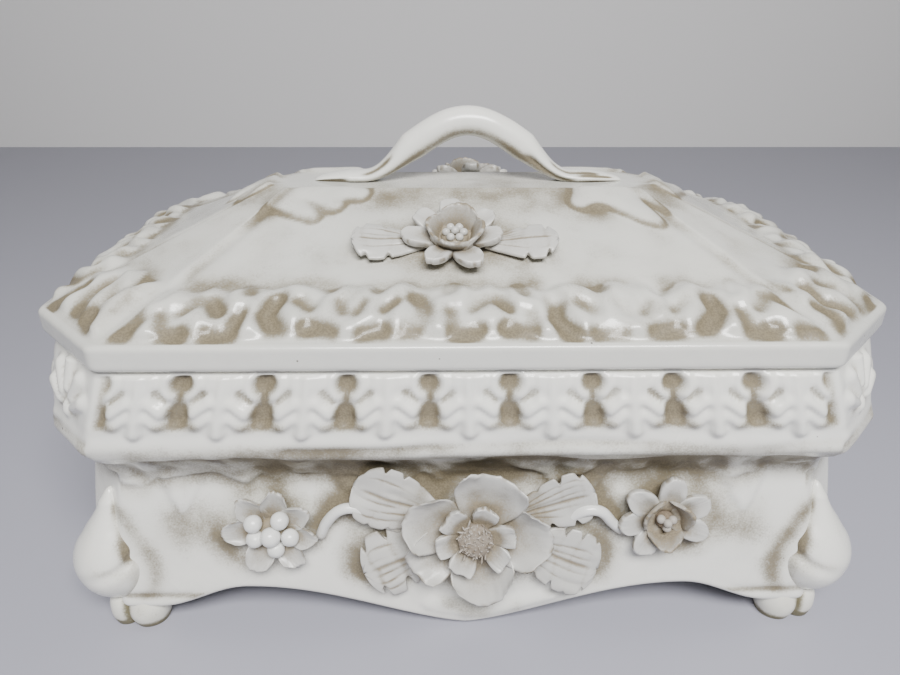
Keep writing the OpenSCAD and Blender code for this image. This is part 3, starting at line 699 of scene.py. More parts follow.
# -------------------- lid
# The lid's border is one running leaf, pierced by hollows: [depth, start, end, radius at start,
# radius at end] of each hollow of one repeat, along the edge and up the slope from it
BORDER_PITCH, BORDER_HIGH, BORDER_RISE = 46.0, 24.5, 2.8
HOLLOWS = [
    (1.0, (5.5, 2.6), (12.5, 3.4), 3.8, 4.6), (1.0, (21.5, 2.5), (26.5, 10), 4.6, 3.2),
    (0.95, (26.5, 10), (24, 17.5), 3.0, 3.8), (0.9, (35, 3), (33.5, 11.5), 3.4, 2.5),
    (1.0, (35, 2.8), (41.5, 4.4), 3.2, 4.0), (0.6, (13, 12), (17, 15.5), 2.6, 3.0),
    (0.85, (40, 13), (43.5, 17), 2.8, 3.2), (0.5, (2.5, 11), (4.5, 15.5), 2.6, 2.2),
    (0.8, (9, 22), (11.5, 27), 3.4, 4.0), (0.8, (33, 21), (35, 27), 3.0, 3.8),
]
# Ridges that model the leaf between them, in the same way
RIBS = [
    (1.0, (17, 5), (19, 21), 3.6, 4.2), (0.9, (31, 6), (33, 9), 3.8, 3.4), (0.8, (2, 5), (6, 10), 3.4, 3.2),
    (1.0, (9, 10.5), (6, 20), 3.0, 3.8), (1.0, (36, 17), (35, 24), 4.0, 3.4),
    (0.9, (44, 9), (44, 17), 3.4, 3.6), (0.8, (14, 18.5), (15.5, 24), 2.8, 3.0),
    (0.8, (29, 12.5), (30.5, 15), 3.0, 2.8),
]
# The smaller leaf that hangs from the edge of the flat top, measured down from it: [start, end,
# radius at start, radius at end] of each lobe
TOP_LEAF = [
    ((-15, 1), (14, 1), 5.5, 5.5), ((-10, 3), (2, 16), 7.5, 3.2), ((-15, 4), (-19, 9), 5.0, 3.4),
    ((8, 3), (13, 11), 6.0, 3.4), ((16, 2), (23, 5), 5.0, 3.4), ((1, 14), (6, 19), 3.6, 2.0),
]
TOP_LEAF_LEFT, TOP_LEAF_RIGHT, TOP_LEAF_RISE = -62, 64, 2.6
BORDER_START = {FRONT: 131, BACK: 325, RIGHT: 700, LEFT: 900}  # where each side's border begins
FAR = 999.0


def leaf_height(along, up, rows):
    """Rounded lobes that run into each other, from 0 to 1."""
    bare = np.ones_like(along)
    for start, end, r0, r1 in rows:
        bare = bare * (1 - 0.85 * ease(lobe(along, up, start, end, 1.35 * r0, 1.35 * r1) ** 2))
    return 1 - bare


def border_relief(along, up, fine):
    """Relief in mm of the border, and how deep in its hollows each point lies, from 0 to 1."""
    cell = np.floor(along / BORDER_PITCH)
    local = along - cell * BORDER_PITCH
    local = np.where(cell % 2 == 1, BORDER_PITCH - local, local)
    shifts = (-BORDER_PITCH, 0, BORDER_PITCH)
    hollow = np.maximum.reduce([pillows(local + shift, up, HOLLOWS) for shift in shifts])
    ribs = np.maximum.reduce([pillows(local + shift, up, RIBS) for shift in shifts])
    edge = BORDER_HIGH + 1.6 * np.sin(local * 0.42) + 1.5 * fine
    leaf = step(0.9, 3.4, up) * step(edge + 1.2, edge - 3.5, up)
    hollow = blurred(hollow * step(0.4, 2.0, up) * clip01(0.9 + 0.8 * fine), 2)
    height = leaf * (BORDER_RISE + 1.5 * ribs) * (1 - hollow)
    return height, hollow * step(edge + 3, edge - 1, up)


def make_lid():
    side, share = plan_columns(LID_HALF, LID_CUT)
    roof_edge = LID_HALF - EDGE_R
    slope = hypot(ROOF_Z - EDGE_Z, roof_edge[1] - FLAT_HALF[1])
    under = LID_T / cos(ROOF_ANGLE)
    rings = []

    def roof(part, depth):
        half, cut = mix(roof_edge, FLAT_HALF, part), mix(LID_CUT, TOP_CUT, part)
        rings.append(plan_ring(side, share, half, cut, mix(EDGE_Z, ROOF_Z, part) - depth))

    def rim(inset, z):
        rings.append(plan_ring(side, share, LID_HALF - inset, LID_CUT, z))

    def flange(inset, z):
        inset = WALL + LID_FIT + inset
        half, cut = MOUTH_HALF - inset, MOUTH_CUT - inset * CUT_PER_INSET
        rings.append(plan_ring(side, share, half, cut, z))

    for part in (1, 0.8, 0.6, 0.4, 0.26, 0.18):
        roof(part, under)
    flange(FLANGE_T, MOUTH_Z + 1)
    flange(FLANGE_T, MOUTH_Z - 3)
    for s, c in arc(range(0, 181, 30)):
        flange(FLANGE_T / 2 * (1 + c), MOUTH_Z - 4.6 - 1.4 * s)
    flange(0, MOUTH_Z - 2)
    flange(0, MOUTH_Z)
    for s, c in arc(range(0, 91, 22)):
        rim(EDGE_R * (1 - s), MOUTH_Z + EDGE_R * (1 - c))
    for t in np.linspace(0.15, 0.9, 6):
        rim(0, mix(MOUTH_Z + EDGE_R, EDGE_Z - EDGE_R, t))
    for s, c in arc(range(0, 90, 18)):
        rim(EDGE_R * (1 - c), EDGE_Z - EDGE_R * (1 - s))
    first = len(rings)
    for part in np.linspace(0, 1, round(slope / (GRID * 0.95))):
        roof(part, 0)
    last = len(rings)
    for part in (0.93, 0.85, 0.72, 0.55, 0.35, 0.18):
        rings.append(plan_ring(side, share, FLAT_HALF * part, TOP_CUT * part, ROOF_Z))
    rings = soften(np.array(rings), SOFT_LID, GRID)

    outer = rings[first:last]
    sides = np.broadcast_to(side, outer.shape[:2])
    long_side, end = on_sides(sides, FRONT, BACK), on_sides(sides, RIGHT, LEFT)
    corner = sides % 2 == 1
    part = np.linspace(0, 1, last - first)[:, None]
    up = np.broadcast_to(part * slope, outer.shape[:2])
    down = slope - up
    along = along_side(side, outer)
    ends = half_length(side, roof_edge, LID_CUT), half_length(side, FLAT_HALF, TOP_CUT)
    reach = np.where(corner, mix(LID_CUT, TOP_CUT, part) * sqrt(0.5), mix(*ends, part))
    run = along + [BORDER_START.get(i, BORDER_START[LEFT]) for i in side]
    jog_a, jog_b = 3.4 * noise(outer, 21, 31), 2.0 * noise(outer + 50, 16, 32)
    fine = noise(outer, 9, 33)
    border, hollow = border_relief(run + jog_a, up + jog_b, fine)
    shut = step(0.5, 4.5, reach - np.abs(along))
    border, hollow = border * shut, hollow * shut
    top = np.zeros_like(up)
    for where, at in ((long_side, TOP_LEAF_LEFT), (long_side, TOP_LEAF_RIGHT), (end, 0)):
        local = np.where(where, along - at, FAR)
        top = np.maximum(top, leaf_height(local + jog_a, down + jog_b, TOP_LEAF))
    top = blurred(top, 7)
    groove = bell(reach - np.abs(along) - 3.0, 2.6) * (~corner) * step(20, 30, up)
    height = np.maximum(border, TOP_LEAF_RISE * top) - 0.9 * groove
    height += 0.35 * noise(outer, 24, 34) + 0.25 * noise(outer, 8, 35)
    height = blurred(height, 3) * step(0.0, 3.0, up) * step(slope, slope - 1.5, up)
    rings[first:last] = outer + grid_normals(outer) * height[..., None]

    wash = 0.05 + 0.05 * noise(rings, 30, 36)
    patch = 0.5 + 0.9 * noise(outer, 10, 38)
    deep = hollow ** 1.6
    pool = deep * step(22, 12, up) * (0.75 + 0.5 * patch) + deep * step(12, 20, up) * 0.9 * patch
    hem = step(BORDER_HIGH + 8, BORDER_HIGH, up) * step(BORDER_HIGH - 6, BORDER_HIGH - 1, up)
    hem = hem * step(0.9, 0.2, border)
    pool = pool + 0.5 * hem * clip01(patch) + 0.30 * step(0.02, 0.5, hollow) * clip01(0.4 + patch)
    x, y = outer[..., 0], outer[..., 1]
    spray = np.hypot((x + LID_SPRAY_X * np.sign(y)) / 42, (np.abs(y) - LID_SPRAY_Y) / 17)
    spray = step(1.1, 0.35, spray)
    below_top = step(20, 2, down) * step(0.5, 0.1, top) * (0.20 + 0.30 * patch)
    between = step(0.6, 0.15, top) * step(0.02, 0.12, top) * 0.55
    past = np.where(long_side, along - 62 * np.sign(along), FAR)
    stain = bell(np.hypot(past + 12, down - 13), 6.5) * step(0.6, 0.1, top)
    wash[first:last] += pool + 0.28 * groove * (0.5 + patch) + 0.6 * spray * (0.6 + 0.5 * patch)
    # 0.12 + 0.12 * patch lays a patchy veil over all the slopes: painted shade
    wash[first:last] += below_top + between + 0.8 * stain + 0.12 + 0.12 * patch
    flat = rings[last:]
    wash[last:] += 0.5 * step(60, 35, np.abs(flat[..., 0])) * (0.7 + 0.6 * noise(flat, 16, 40))
    piece = Piece()
    add_rings(piece, rings, wash, [0, 0, ROOF_Z - under], [0, 0, ROOF_Z])
    piece.make("lid_roof", "lid", "lid_shell", ROOF_SHADED, "ivory_glaze")


# -------------------- petals, leaves, stems, balls
PETAL_ROWS, PETAL_COLUMNS, LEAF_ROWS, LEAF_COLUMNS = 30, 33, 54, 49


def sheet_grid(rows, columns):
    """Share s along a sheet from its root, and v across it from -1 to 1."""
    return np.meshgrid(np.linspace(0, 1, rows), np.linspace(-1, 1, columns), indexing="ij")


def thickness_share(s, v):
    """How much of its thickness a sheet has: it thins to a rounded edge all round its rim."""
    edge = np.sqrt(clip01(1 - np.abs(v) ** 5)) * np.sqrt(clip01(1 - np.abs(2 * s - 1) ** 9))
    return 0.30 + 0.70 * edge


def add_petal(
    piece, angle, seed, root, tip, wide, foot_h, tip_h, cup, thick, blunt, narrow, rag,
    curl=0.0, stain=0.0, base=(0, 0, 0), tilt=0.0,
):
    """Adds a cupped petal with a torn clay edge, tilted up and turned about its blossom's axis."""
    s, v = sheet_grid(PETAL_ROWS, PETAL_COLUMNS)
    torn = rag * flat_noise(v * 9 + seed * 3.7, s * 4, 1.0, seed) * step(0.55, 1.0, s)
    torn += 0.05 * tip * flat_noise(v * 1.8 + seed * 1.3, 0 * s, 1.0, seed + 3) * s
    out = root + (tip - root) * s * (1 - blunt * np.abs(v) ** 2.4) + torn
    across = wide * v * mix(narrow, 1.0, np.sin(np.pi / 2 * clip01(s / 0.72)))
    across = across * (1 - 0.10 * step(0.8, 1, s)) + 0.3 * torn
    lift = mix(foot_h, tip_h, s ** 1.5) + cup * (v * v) * (0.35 + 0.65 * s) + curl * step(0.55, 1, s)
    lift += 0.28 * flat_noise(out, across, 5.0, seed + 40)
    lift += 0.16 * flat_noise(v * 11, s * 2 + seed, 1.0, seed + 80) * s
    half = thick / 2 * thickness_share(s, v) * (1 + 0.15 * flat_noise(out, across, 3.5, seed + 9))
    patch = flat_noise(out, across, 4.0, seed + 60)
    # darker towards the root and in the cup: partly brown wash, partly painted shade
    deep = step(0.72, 0.15, s) * (0.75 + 0.5 * patch) + 0.25 * step(1.0, 0.6, s) * step(1.0, 0.3, np.abs(v))
    rim = step(0.93, 1.0, np.maximum(s, np.abs(v)))
    rim = rim * step(-0.3, 0.5, flat_noise(v * 6, s * 5, 1.0, seed + 70))
    upper, lower = (
        turned(turned(np.stack([out, across, lift + h], -1), -tilt, 1) + base, angle, 2)
        for h in (half, -half)
    )
    add_sheet(piece, upper, lower, clip01(deep + 0.6 * rim + 0.12 + stain))


def add_petals(piece, rows, seed, **shape):
    """Adds a petal for each row, [angle, half width, reach]."""
    for n, (angle, wide, reach) in enumerate(rows):
        add_petal(piece, angle, seed + n, wide=wide, tip=reach, **shape)


VEINS = (-0.62, -0.30, 0.26, 0.5, 0.78)


def add_leaf(piece, angle, root, tip, wide, foot_h, tip_h, fold, lobes, depth, seed, broad):
    """Adds a leaf with fanned veins and a notched or lobed rim."""
    s, v = sheet_grid(LEAF_ROWS, LEAF_COLUMNS)
    outline = 0.25 + 0.75 * np.sin(np.pi / 2 * clip01(s / broad))
    outline = outline * np.sqrt(clip01(1.01 - clip01((s - broad) / (1 - broad)) ** 3))
    beat = (s + 0.03 * np.sin(seed + 5 * s) + 0.02 * np.sign(v)) * lobes
    notch = 1 - np.abs(2 * (beat - np.floor(beat)) - 1)
    uneven = flat_noise(np.floor(beat) * 3.7 + 9 * np.sign(v), 0 * s, 1.0, seed + 12)
    cut = depth * (1 + 0.9 * uneven) * step(0.62, 1.0, notch) * step(0.22, 0.40, s)
    across = wide * outline * v * (1 - cut * np.abs(v) ** 4)
    # the tip is torn into teeth as well
    teeth = 1.6 * depth * np.abs(np.sin(v * lobes * 1.9 + seed)) * step(0.7, 1.0, s)
    out = mix(root, tip, s) - teeth + 3.0 * np.abs(v) * outline * (1 - s)
    out += 0.3 * flat_noise(s * 14, v * 2, 1.0, seed)
    lift = mix(foot_h, tip_h, np.sin(np.pi / 2 * s)) + fold * np.abs(v) ** 1.4 * outline
    lift += 0.8 * flat_noise(out, across, 9.0, seed + 5) * s
    lift += 0.3 * flat_noise(out * 0.4, across, 2.6, seed + 6)
    midrib = bell(v, 0.055) * step(0.97, 0.8, s)
    veins = np.zeros_like(v)
    for k in VEINS:
        strong = step(-0.4, 0.3, flat_noise(s * 3, 0 * s + 9 * k, 1.0, seed + 11))
        line = k * (0.6 + 0.4 * s) + 0.03 * np.sin(5 * s + 7 * k)
        veins = np.maximum(veins, strong * bell(v - line, 0.03))
    veins = veins * step(0.08, 0.2, s) * step(1.0, 0.7, s)
    half = LEAF_T / 2 * thickness_share(s, v)
    upper = np.stack([out, across, lift + half - 0.4 * midrib - 0.3 * veins], -1)
    lower = np.stack([out, across, lift - half], -1)
    patch = 0.5 + 0.7 * flat_noise(out, across, 6.0, seed + 7)
    wash = 0.7 * midrib + 0.6 * veins * (0.5 + patch) + patch * step(0.55, 0.1, s) * 0.85
    wash += 0.35 * step(0.88, 1.0, np.abs(v)) * patch + 0.4 * cut
    add_sheet(piece, turned(upper, angle, 2), turned(lower, angle, 2), clip01(wash + 0.12))


def add_tube(piece, path, radii, wash, sides):
    """Adds a closed tube along a path, with a radius at each of its points."""
    ahead = unit(np.gradient(path, axis=0))
    side = unit(np.cross(ahead, [0.0, 0.0, 1.0]) + 1e-6)
    up = np.cross(side, ahead)
    angle = circle(sides)[None, :, None]
    around = side[:, None] * np.cos(angle) + up[:, None] * np.sin(angle)
    add_rings(piece, path[:, None] + radii[:, None, None] * around, wash, path[0], path[-1])


def rounded_ends(t, share):
    """Radius share along a tube that closes in a half round at each end."""
    near = clip01(np.minimum(t, 1 - t) / share)
    return np.sqrt(np.clip(1 - (1 - near) ** 2, 0.02, 1))


def add_balls(piece, centres, radii, wash, seed):
    """Adds hand-rolled balls: not quite round."""
    polar, turn = np.linspace(0.09, np.pi - 0.09, 18)[:, None], circle(26)[None]
    flat, high = np.sin(polar), np.cos(polar)
    ball = np.stack([flat * np.cos(turn), flat * np.sin(turn), high + 0 * turn], -1)
    for n, (centre, radius) in enumerate(zip(centres, radii), seed):
        uneven = ball * (1 + 0.05 * noise(ball * 2 + n * 7.1, 1.3, n))[..., None]
        rings = np.asarray(centre) + uneven * radius
        low = step(0.2, -0.9, uneven[..., 2]) * wash
        add_rings(piece, rings, clip01(low + 0.06 + 0.12 * noise(rings, 2.5, n + 3)))


def add_boss(piece, profile, wash, columns=32):
    """Adds a turned boss, given as [height, radius] of its rings."""
    turn = circle(columns)
    rings = [np.stack([r * np.cos(turn), r * np.sin(turn), h + 0 * turn], -1) for h, r in profile]
    add_rings(piece, rings, wash)


# -------------------- the spray on the wall
# petals and leaves take the petal glaze, greyed as painted shade
PETALS, STAMENS, SMALL_TRIM = (PETAL_SHADED, "petals"), (STAMEN, "stamens"), (TRIM, "small_trim")
PETAL_T, LEAF_T, STEM_R = 1.9, 1.8, 2.0
STAMEN_R, STAMEN_H, STAMEN_COUNT = 6.5, 13.0, 230
BERRY_R, BEAD_R = 3.2, 1.6
LEFT_AT, RIGHT_AT = (-74.0, 0.5), (69.5, 4.0)

# [angle, half width, foot height, tip height, reach, bluntness] of the main blossom's petals
OUTER_PETALS = [
    (206, 9.5, 3.0, 9.5, 27.0, 0.28),
    (-79, 11.5, 3.6, 9.5, 28.0, 0.42),
    (-2, 12.0, 4.4, 10.0, 28.0, 0.36),
    (160, 11.5, 5.2, 11.2, 27.5, 0.30),
    (73, 13.0, 5.8, 11.8, 26.5, 0.16),
]
# [angle, half width, reach] of the other petals
INNER_PETALS = [
    (137, 5.2, 14.0), (70, 4.6, 13.2), (8, 4.3, 14.5), (-40, 4.4, 14.5), (-116, 5.0, 14.0), (190, 4.4, 14.5),
]
LEFT_PETALS = [
    (128, 4.8, 17.5), (80, 5.0, 17.5), (34, 4.8, 17.0), (-8, 4.4, 17.0), (-50, 4.8, 16.5), (-115, 5.2, 16.5),
    (176, 5.0, 17.5),
]
RIGHT_PETALS = [
    (80, 4.8, 18.0), (141, 5.0, 17.5), (184, 4.6, 17.0), (-128, 4.8, 16.5), (-18, 4.6, 17.0), (28, 4.8, 17.5),
]
BUD_PETALS = [(angle, 6.6, 10.5) for angle in (-90, 30, 150)]
LID_PETALS = [
    (95, 4.2, 18.5), (143, 4.3, 18.0), (186, 4.6, 19.0), (240, 4.0, 17.5), (-68, 4.8, 18.0), (-6, 4.2, 17.0),
    (36, 4.4, 17.5),
]
LID_BUD_PETALS = [(-105, 7.6, 9.6), (-15, 7.6, 10.6), (75, 7.6, 11.4), (170, 7.6, 10.2)]
# Centres of the balls, and [height, radius] of the bosses under them and of the stamen disc
BERRIES = [
    (0.6, -0.2, 7.4), (-5.6, 4.6, 6.4), (3.9, 5.6, 6.2), (-5.4, -1.8, 5.6), (7.2, -1.2, 5.8),
    (1.8, -5.8, 5.6),
]
BEADS = [(0, 0.3, 7.4), (-2.2, 1.4, 6.2), (2.1, 1.0, 6.2), (0.2, -2.1, 6.2)]
LID_BEADS = [(3.1 * c, 3.1 * s, 5.8) for s, c in arc(range(0, 360, 60))] + [(0, 0, 6.6)]
DISC = ((-1, 5.9), (4, 5.9), (9, 6.0), (11.2, 6.3), (12.0, 5.8), (12.5, 4.4), (12.8, 2.2))
BERRY_BOSS = ((-1, 5.5), (3, 5.4), (4.6, 4.6), (5.4, 2.6))
BUD_BOSS = ((-1, 3.4), (4, 3.4), (5.8, 2.8), (6.2, 1.4))
LID_BOSS = ((-1, 4.2), (3.4, 5.0), (4.8, 4.6), (5.3, 2.4))

# [name, angle, root, reach, half width, fold, lobes, depth of notches, broadness] of each leaf
WALL_LEAVES = [
    ("leaf_upper_left", 157, 13, 47.5, 12.0, 1.4, 5.0, 0.12, 0.62),
    ("leaf_upper_right", 20, 14, 46, 10.5, 1.0, 4.0, 0.25, 0.70),
    ("leaf_lower_left", 202, 13, 44, 13.5, -0.9, 3.0, 0.60, 0.62),
    ("leaf_lower_right", -19, 13, 48, 13.0, 1.0, 5.0, 0.30, 0.68),
]
# [name, angle, seed] of each leaf on the lid
LID_LEAVES = [("leaf_left", 183, 181), ("leaf_right", -3, 184)]
# Points of each bowed stem, [along, up, out] from the blossom it belongs to
STEMS = {
    "stem_left": (
        LEFT_AT,
        [(17, -4, 1.5), (20, 3, 3), (25, 8.5, 4.5), (31, 9.3, 4.6), (38, 4.5, 3), (48, -1.5, 1.2)],
    ),
    "stem_right": (
        RIGHT_AT,
        [(-39, -6, 1), (-34.5, 0.5, 3), (-29, 4.6, 5), (-23.5, 3.8, 5), (-19, -1.5, 3), (-14, -6.5, 1)],
    ),
}


def put(piece, place, spray, name, node, finish=PETALS):
    """Moves a piece to its place and makes it; spray is the start of its name and its node's."""
    body = "lid" if spray.startswith("lid") else "box"
    piece.move(place).make(f"{spray}_{name}", body, f"{spray}_{node}", *finish)


def add_stamens(piece):
    """Bent rods that stand close together on the stamen disc."""
    random = np.random.default_rng(5)
    t = np.linspace(0, 1, 5)[:, None]
    for _ in range(STAMEN_COUNT):
        r, a = (STAMEN_R - 0.4) * sqrt(random.random()), random.random() * 2 * pi
        start = np.array([r * cos(a), r * sin(a), 11.4 - 0.02 * r * r])
        lean = random.normal(0, 0.9, 3)
        bend = random.normal(0, 0.55, 3)
        path = start + t * np.array([0, 0, 1.4]) + t * lean * 0.9 + t * t * bend
        path[:, 2] = np.clip(path[:, 2], 10.5, STAMEN_H + 0.6)
        add_tube(piece, path, 0.36 * rounded_ends(t[:, 0], 0.3), 0.15 + 0.6 * random.random(), 6)


def main_blossom(spray, turn):
    place = on_wall((0, 0), turn)
    outer, inner, stamens = Piece(), Piece(), Piece()
    for n, (angle, wide, foot_h, tip_h, reach, blunt) in enumerate(OUTER_PETALS, 11):
        add_petal(
            outer, angle, n, STAMEN_R - 2.0, reach, wide, foot_h, tip_h - 2.2, cup=3.6, thick=PETAL_T,
            blunt=blunt, narrow=0.42, rag=0.8, curl=1.6,
        )
    put(outer, place, spray, "outer_petals", "blossom_outer_petals")
    add_petals(
        inner, INNER_PETALS, 31, root=4.5, foot_h=7.5, tip_h=12.0, cup=1.2, thick=3.4,
        blunt=0.10, narrow=0.62, rag=0.12, curl=-0.8,
    )
    put(inner, place, spray, "inner_petals", "blossom_inner_petals")
    add_boss(stamens, DISC, 0.6, 48)
    add_stamens(stamens)
    put(stamens, place, spray, "stamen_disc", "blossom_stamens", STAMENS)


def wall_leaves(spray, turn):
    for n, (name, angle, root, reach, wide, fold, lobes, depth, broad) in enumerate(WALL_LEAVES, 50):
        leaf = Piece()
        add_leaf(leaf, angle, root, reach, wide, 1.2, 4.6, fold, lobes, depth, n, broad)
        put(leaf, on_wall((0, 0), turn), spray, f"{name}_veined", name)


def smooth_path(points, count):
    """A Catmull-Rom curve through points."""
    p = np.asarray(points, float)
    p = np.concatenate([[2 * p[0] - p[1]], p, [2 * p[-1] - p[-2]]])
    t = np.linspace(0, len(p) - 3 - 1e-6, count)
    i = np.floor(t).astype(int)
    f = (t - i)[:, None]
    a, b, c, d = p[i], p[i + 1], p[i + 2], p[i + 3]
    square, cube = 2 * a - 5 * b + 4 * c - d, 3 * b - a - 3 * c + d
    return 0.5 * (2 * b + (c - a) * f + square * f ** 2 + cube * f ** 3)


def wall_stems(spray, turn):
    for name, (at, points) in STEMS.items():
        stem, path = Piece(), smooth_path(points, 46)
        t = np.linspace(0, 1, len(path))
        radius = STEM_R * rounded_ends(t, 0.05) * (1 + 0.10 * noise(path, 6, 71))
        wash = 0.12 + 0.5 * step(0.82, 1.0, t) + 0.35 * step(0.15, 0.0, t)
        add_tube(stem, path, radius, wash[:, None], 18)
        put(stem, on_wall(at, turn), spray, f"{name}_bowed", name, SMALL_TRIM)


def small_blossoms(spray, turn):
    left, berries, right, bud, beads = (Piece() for _ in range(5))
    place = on_wall(LEFT_AT, turn)
    add_petals(
        left, LEFT_PETALS, 90, root=3.0, foot_h=2.0, tip_h=5.4, cup=0.9, thick=2.2,
        blunt=0.36, narrow=0.6, rag=0.4, curl=0.4,
    )
    put(left, place, spray, "left_petals", "left_blossom_petals")
    add_balls(berries, BERRIES, BERRY_R * np.array([1.12] + [1.02] * 5), 0.5, 100)
    add_boss(berries, BERRY_BOSS, 0.9)
    put(berries, place, spray, "left_berries", "left_blossom_berries", SMALL_TRIM)
    place = on_wall(RIGHT_AT, turn)
    add_petals(
        right, RIGHT_PETALS, 110, root=3.0, foot_h=2.2, tip_h=6.4, cup=0.5, thick=3.6,
        blunt=0.26, narrow=0.55, rag=0.1, curl=-1.2, stain=-0.1,
    )
    put(right, place, spray, "right_petals", "right_blossom_petals")
    add_petals(
        bud, BUD_PETALS, 120, root=0.0, foot_h=0.0, tip_h=-2.2, cup=3.4, thick=1.5,
        blunt=0.34, narrow=0.8, rag=0.3, stain=0.4, base=(4.9, 0, 0.6), tilt=76,
    )
    put(bud, place, spray, "wrapped_bud", "right_bud_petals")
    add_balls(beads, BEADS, [BEAD_R] * 4, 0.8, 130)
    add_boss(beads, BUD_BOSS, 1.0)
    put(beads, place, spray, "bud_bead_cluster", "right_bud_beads", STAMENS)


def lid_blossom(spray, turn):
    place = on_slope(turn)
    petals, bud, beads = Piece(), Piece(), Piece()
    add_petals(
        petals, LID_PETALS, 140, root=3.5, foot_h=1.6, tip_h=7.2, cup=0.6, thick=3.5,
        blunt=0.2, narrow=0.55, rag=0.1, curl=-1.4, stain=-0.1,
    )
    put(petals, place, spray, "petals", "blossom_petals")
    add_petals(
        bud, LID_BUD_PETALS, 150, root=0.0, foot_h=0.0, tip_h=-2.4, cup=3.4, thick=1.7,
        blunt=0.24, narrow=0.8, rag=0.35, stain=0.25, base=(5.2, 0, 0.4), tilt=76,
    )
    put(bud, place, spray, "rolled_bud", "bud")
    add_balls(beads, LID_BEADS, [0.9 * BEAD_R] * 7, 0.5, 170)
    add_boss(beads, LID_BOSS, 1.0)
    put(beads, place, spray, "bud_bead_cluster", "bud_beads", (PETAL_SHADED, "stamens"))
    for name, angle, seed in LID_LEAVES:
        leaf = Piece()
        add_leaf(leaf, angle, 10, 36.5, 8.8, 1.0, 4.2, -1.0, 3.0, 0.40, seed, 0.66)
        put(leaf, place, spray, f"{name}_veined", name)


# -------------------- handle
HANDLE_X, HANDLE_SPAN, HANDLE_LEFT, HANDLE_RIGHT = 2.0, 42.0, 20.0, 21.0
HANDLE_RISE, HANDLE_D, HANDLE_END_T, HANDLE_TAPER = 21.6, 11.5, 4.6, 14.0
HANDLE_STAIN = 142  # angle of the wash along the branch; 90 is under it and 180 its front
# Hollows the tool left in the branch: [angle round it, half width, from x, to x, depth share]
HANDLE_HOLLOWS = [
    (158, 0.34, 27, 44, 0.24), (232, 0.22, 34, 54, 0.12), (222, 0.28, -40, -27, 0.12),
    (165, 0.36, -61, -47, 0.25), (205, 0.22, 46, 60, 0.08),
]


def make_handle():
    """A fluted branch that arches up from two flattened, leaf-like ends."""
    x0, x1 = HANDLE_X - HANDLE_SPAN - HANDLE_LEFT, HANDLE_X + HANDLE_SPAN + HANDLE_RIGHT
    t = np.linspace(0, 1, 170)
    x = mix(x0, x1, 0.7 * t + 0.3 * ease(t))
    arch = np.cos(np.pi / 2 * clip01(np.abs(x - HANDLE_X) / HANDLE_SPAN)) ** 2
    closing = np.clip(np.minimum(x - x0, x1 - x) / HANDLE_TAPER, 0.004, 1) ** 0.4
    thick = mix(HANDLE_END_T, HANDLE_D, clip01(arch * 2.2)) * closing
    wide = mix(HANDLE_D * 1.12, HANDLE_D, clip01(arch * 2)) * closing
    lift = ROOF_Z + HANDLE_END_T / 2 - 0.5 + HANDLE_RISE * arch
    lift += (1 - arch) * 0.5 * (thick - HANDLE_END_T)
    path = np.stack([x, 0 * x, lift], -1)
    up = np.cross(unit(np.gradient(path, axis=0)), [0.0, -1.0, 0.0])
    angle = circle(72)
    wander = 0.25 * noise(path, 26, 190)[:, None]
    creases, swell = np.zeros((len(x), len(angle))), 1.0
    for middle, half_width, start, stop, deep in HANDLE_HOLLOWS:
        spot = bell(from_angle(angle[None] - wander, middle), half_width)
        spot = spot * (step(start - 2.5, start + 2.5, x) * step(stop + 2.5, stop - 2.5, x))[:, None]
        swell, creases = swell - deep * spot, creases + spot
    around = np.stack([0 * angle, np.cos(angle), np.sin(angle)], -1)[None]
    swell = np.minimum(swell + 0.045 * noise(path[:, None] + 8 * around, 12, 191), 1.0)
    across = (wide / 2)[:, None, None] * np.cos(angle)[None, :, None] * np.array([0.0, 1.0, 0.0])
    upward = (thick / 2)[:, None, None] * np.sin(angle)[None, :, None] * up[:, None]
    rings = path[:, None] + swell[..., None] * (across + upward)
    patch = noise(rings, 11, 192)
    low = bell(angle - radians(HANDLE_STAIN), 0.36)[None] * (0.7 + 0.6 * patch)
    wash = 0.05 + 1.1 * creases * (0.8 + 0.4 * patch) + 0.95 * low
    piece = Piece()
    add_rings(piece, rings, clip01(wash), path[0] - [0.3, 0, 0], path[-1] + [0.3, 0, 0])
    piece.make("branch_handle", "lid", "handle", IVORY, "ivory_glaze")


# -------------------- corner scrolls and feet
SCROLL_R, SCROLL_TIP_R, SCROLL_LOW, SCROLL_BELLY, SCROLL_TOP = 18.5, 4.0, 9.0, 27.0, 57.0
SCROLL_INSET = np.array([15.5, 16.0])
# Angles round a scroll, 0 outwards at its end wall and 90 outwards at its long wall: where it
# narrows towards the middle of each wall, where it is creased, and where it meets the wall
SCROLL_NARROWS, SCROLL_CREASES, SCROLL_SEAMS = (152, -62), ((128, 0.8), (-38, 0.7)), (117, -27)
FOOT_INSET = np.array([19.0, 8.5])
FOOT_BELLY = 0.42  # share of a toe's height at which it is widest
# [x, y, radius, height] of each rounded toe, outwards and forwards from the foot's middle
TOES = [(-5.0, 0.4, 8.0, 16.0), (4.2, 1.0, 5.8, 14.5), (-2.0, -7.0, 8.4, 16.0)]


def scroll_radius(z):
    below = SCROLL_R * dome((SCROLL_BELLY - z) / (SCROLL_BELLY - SCROLL_LOW))
    above = mix(SCROLL_R, SCROLL_TIP_R, ease((z - SCROLL_BELLY) / (SCROLL_TOP - SCROLL_BELLY)))
    return np.where(z < SCROLL_BELLY, below, above) * np.sqrt(clip01((SCROLL_TOP - z) / 5.0))


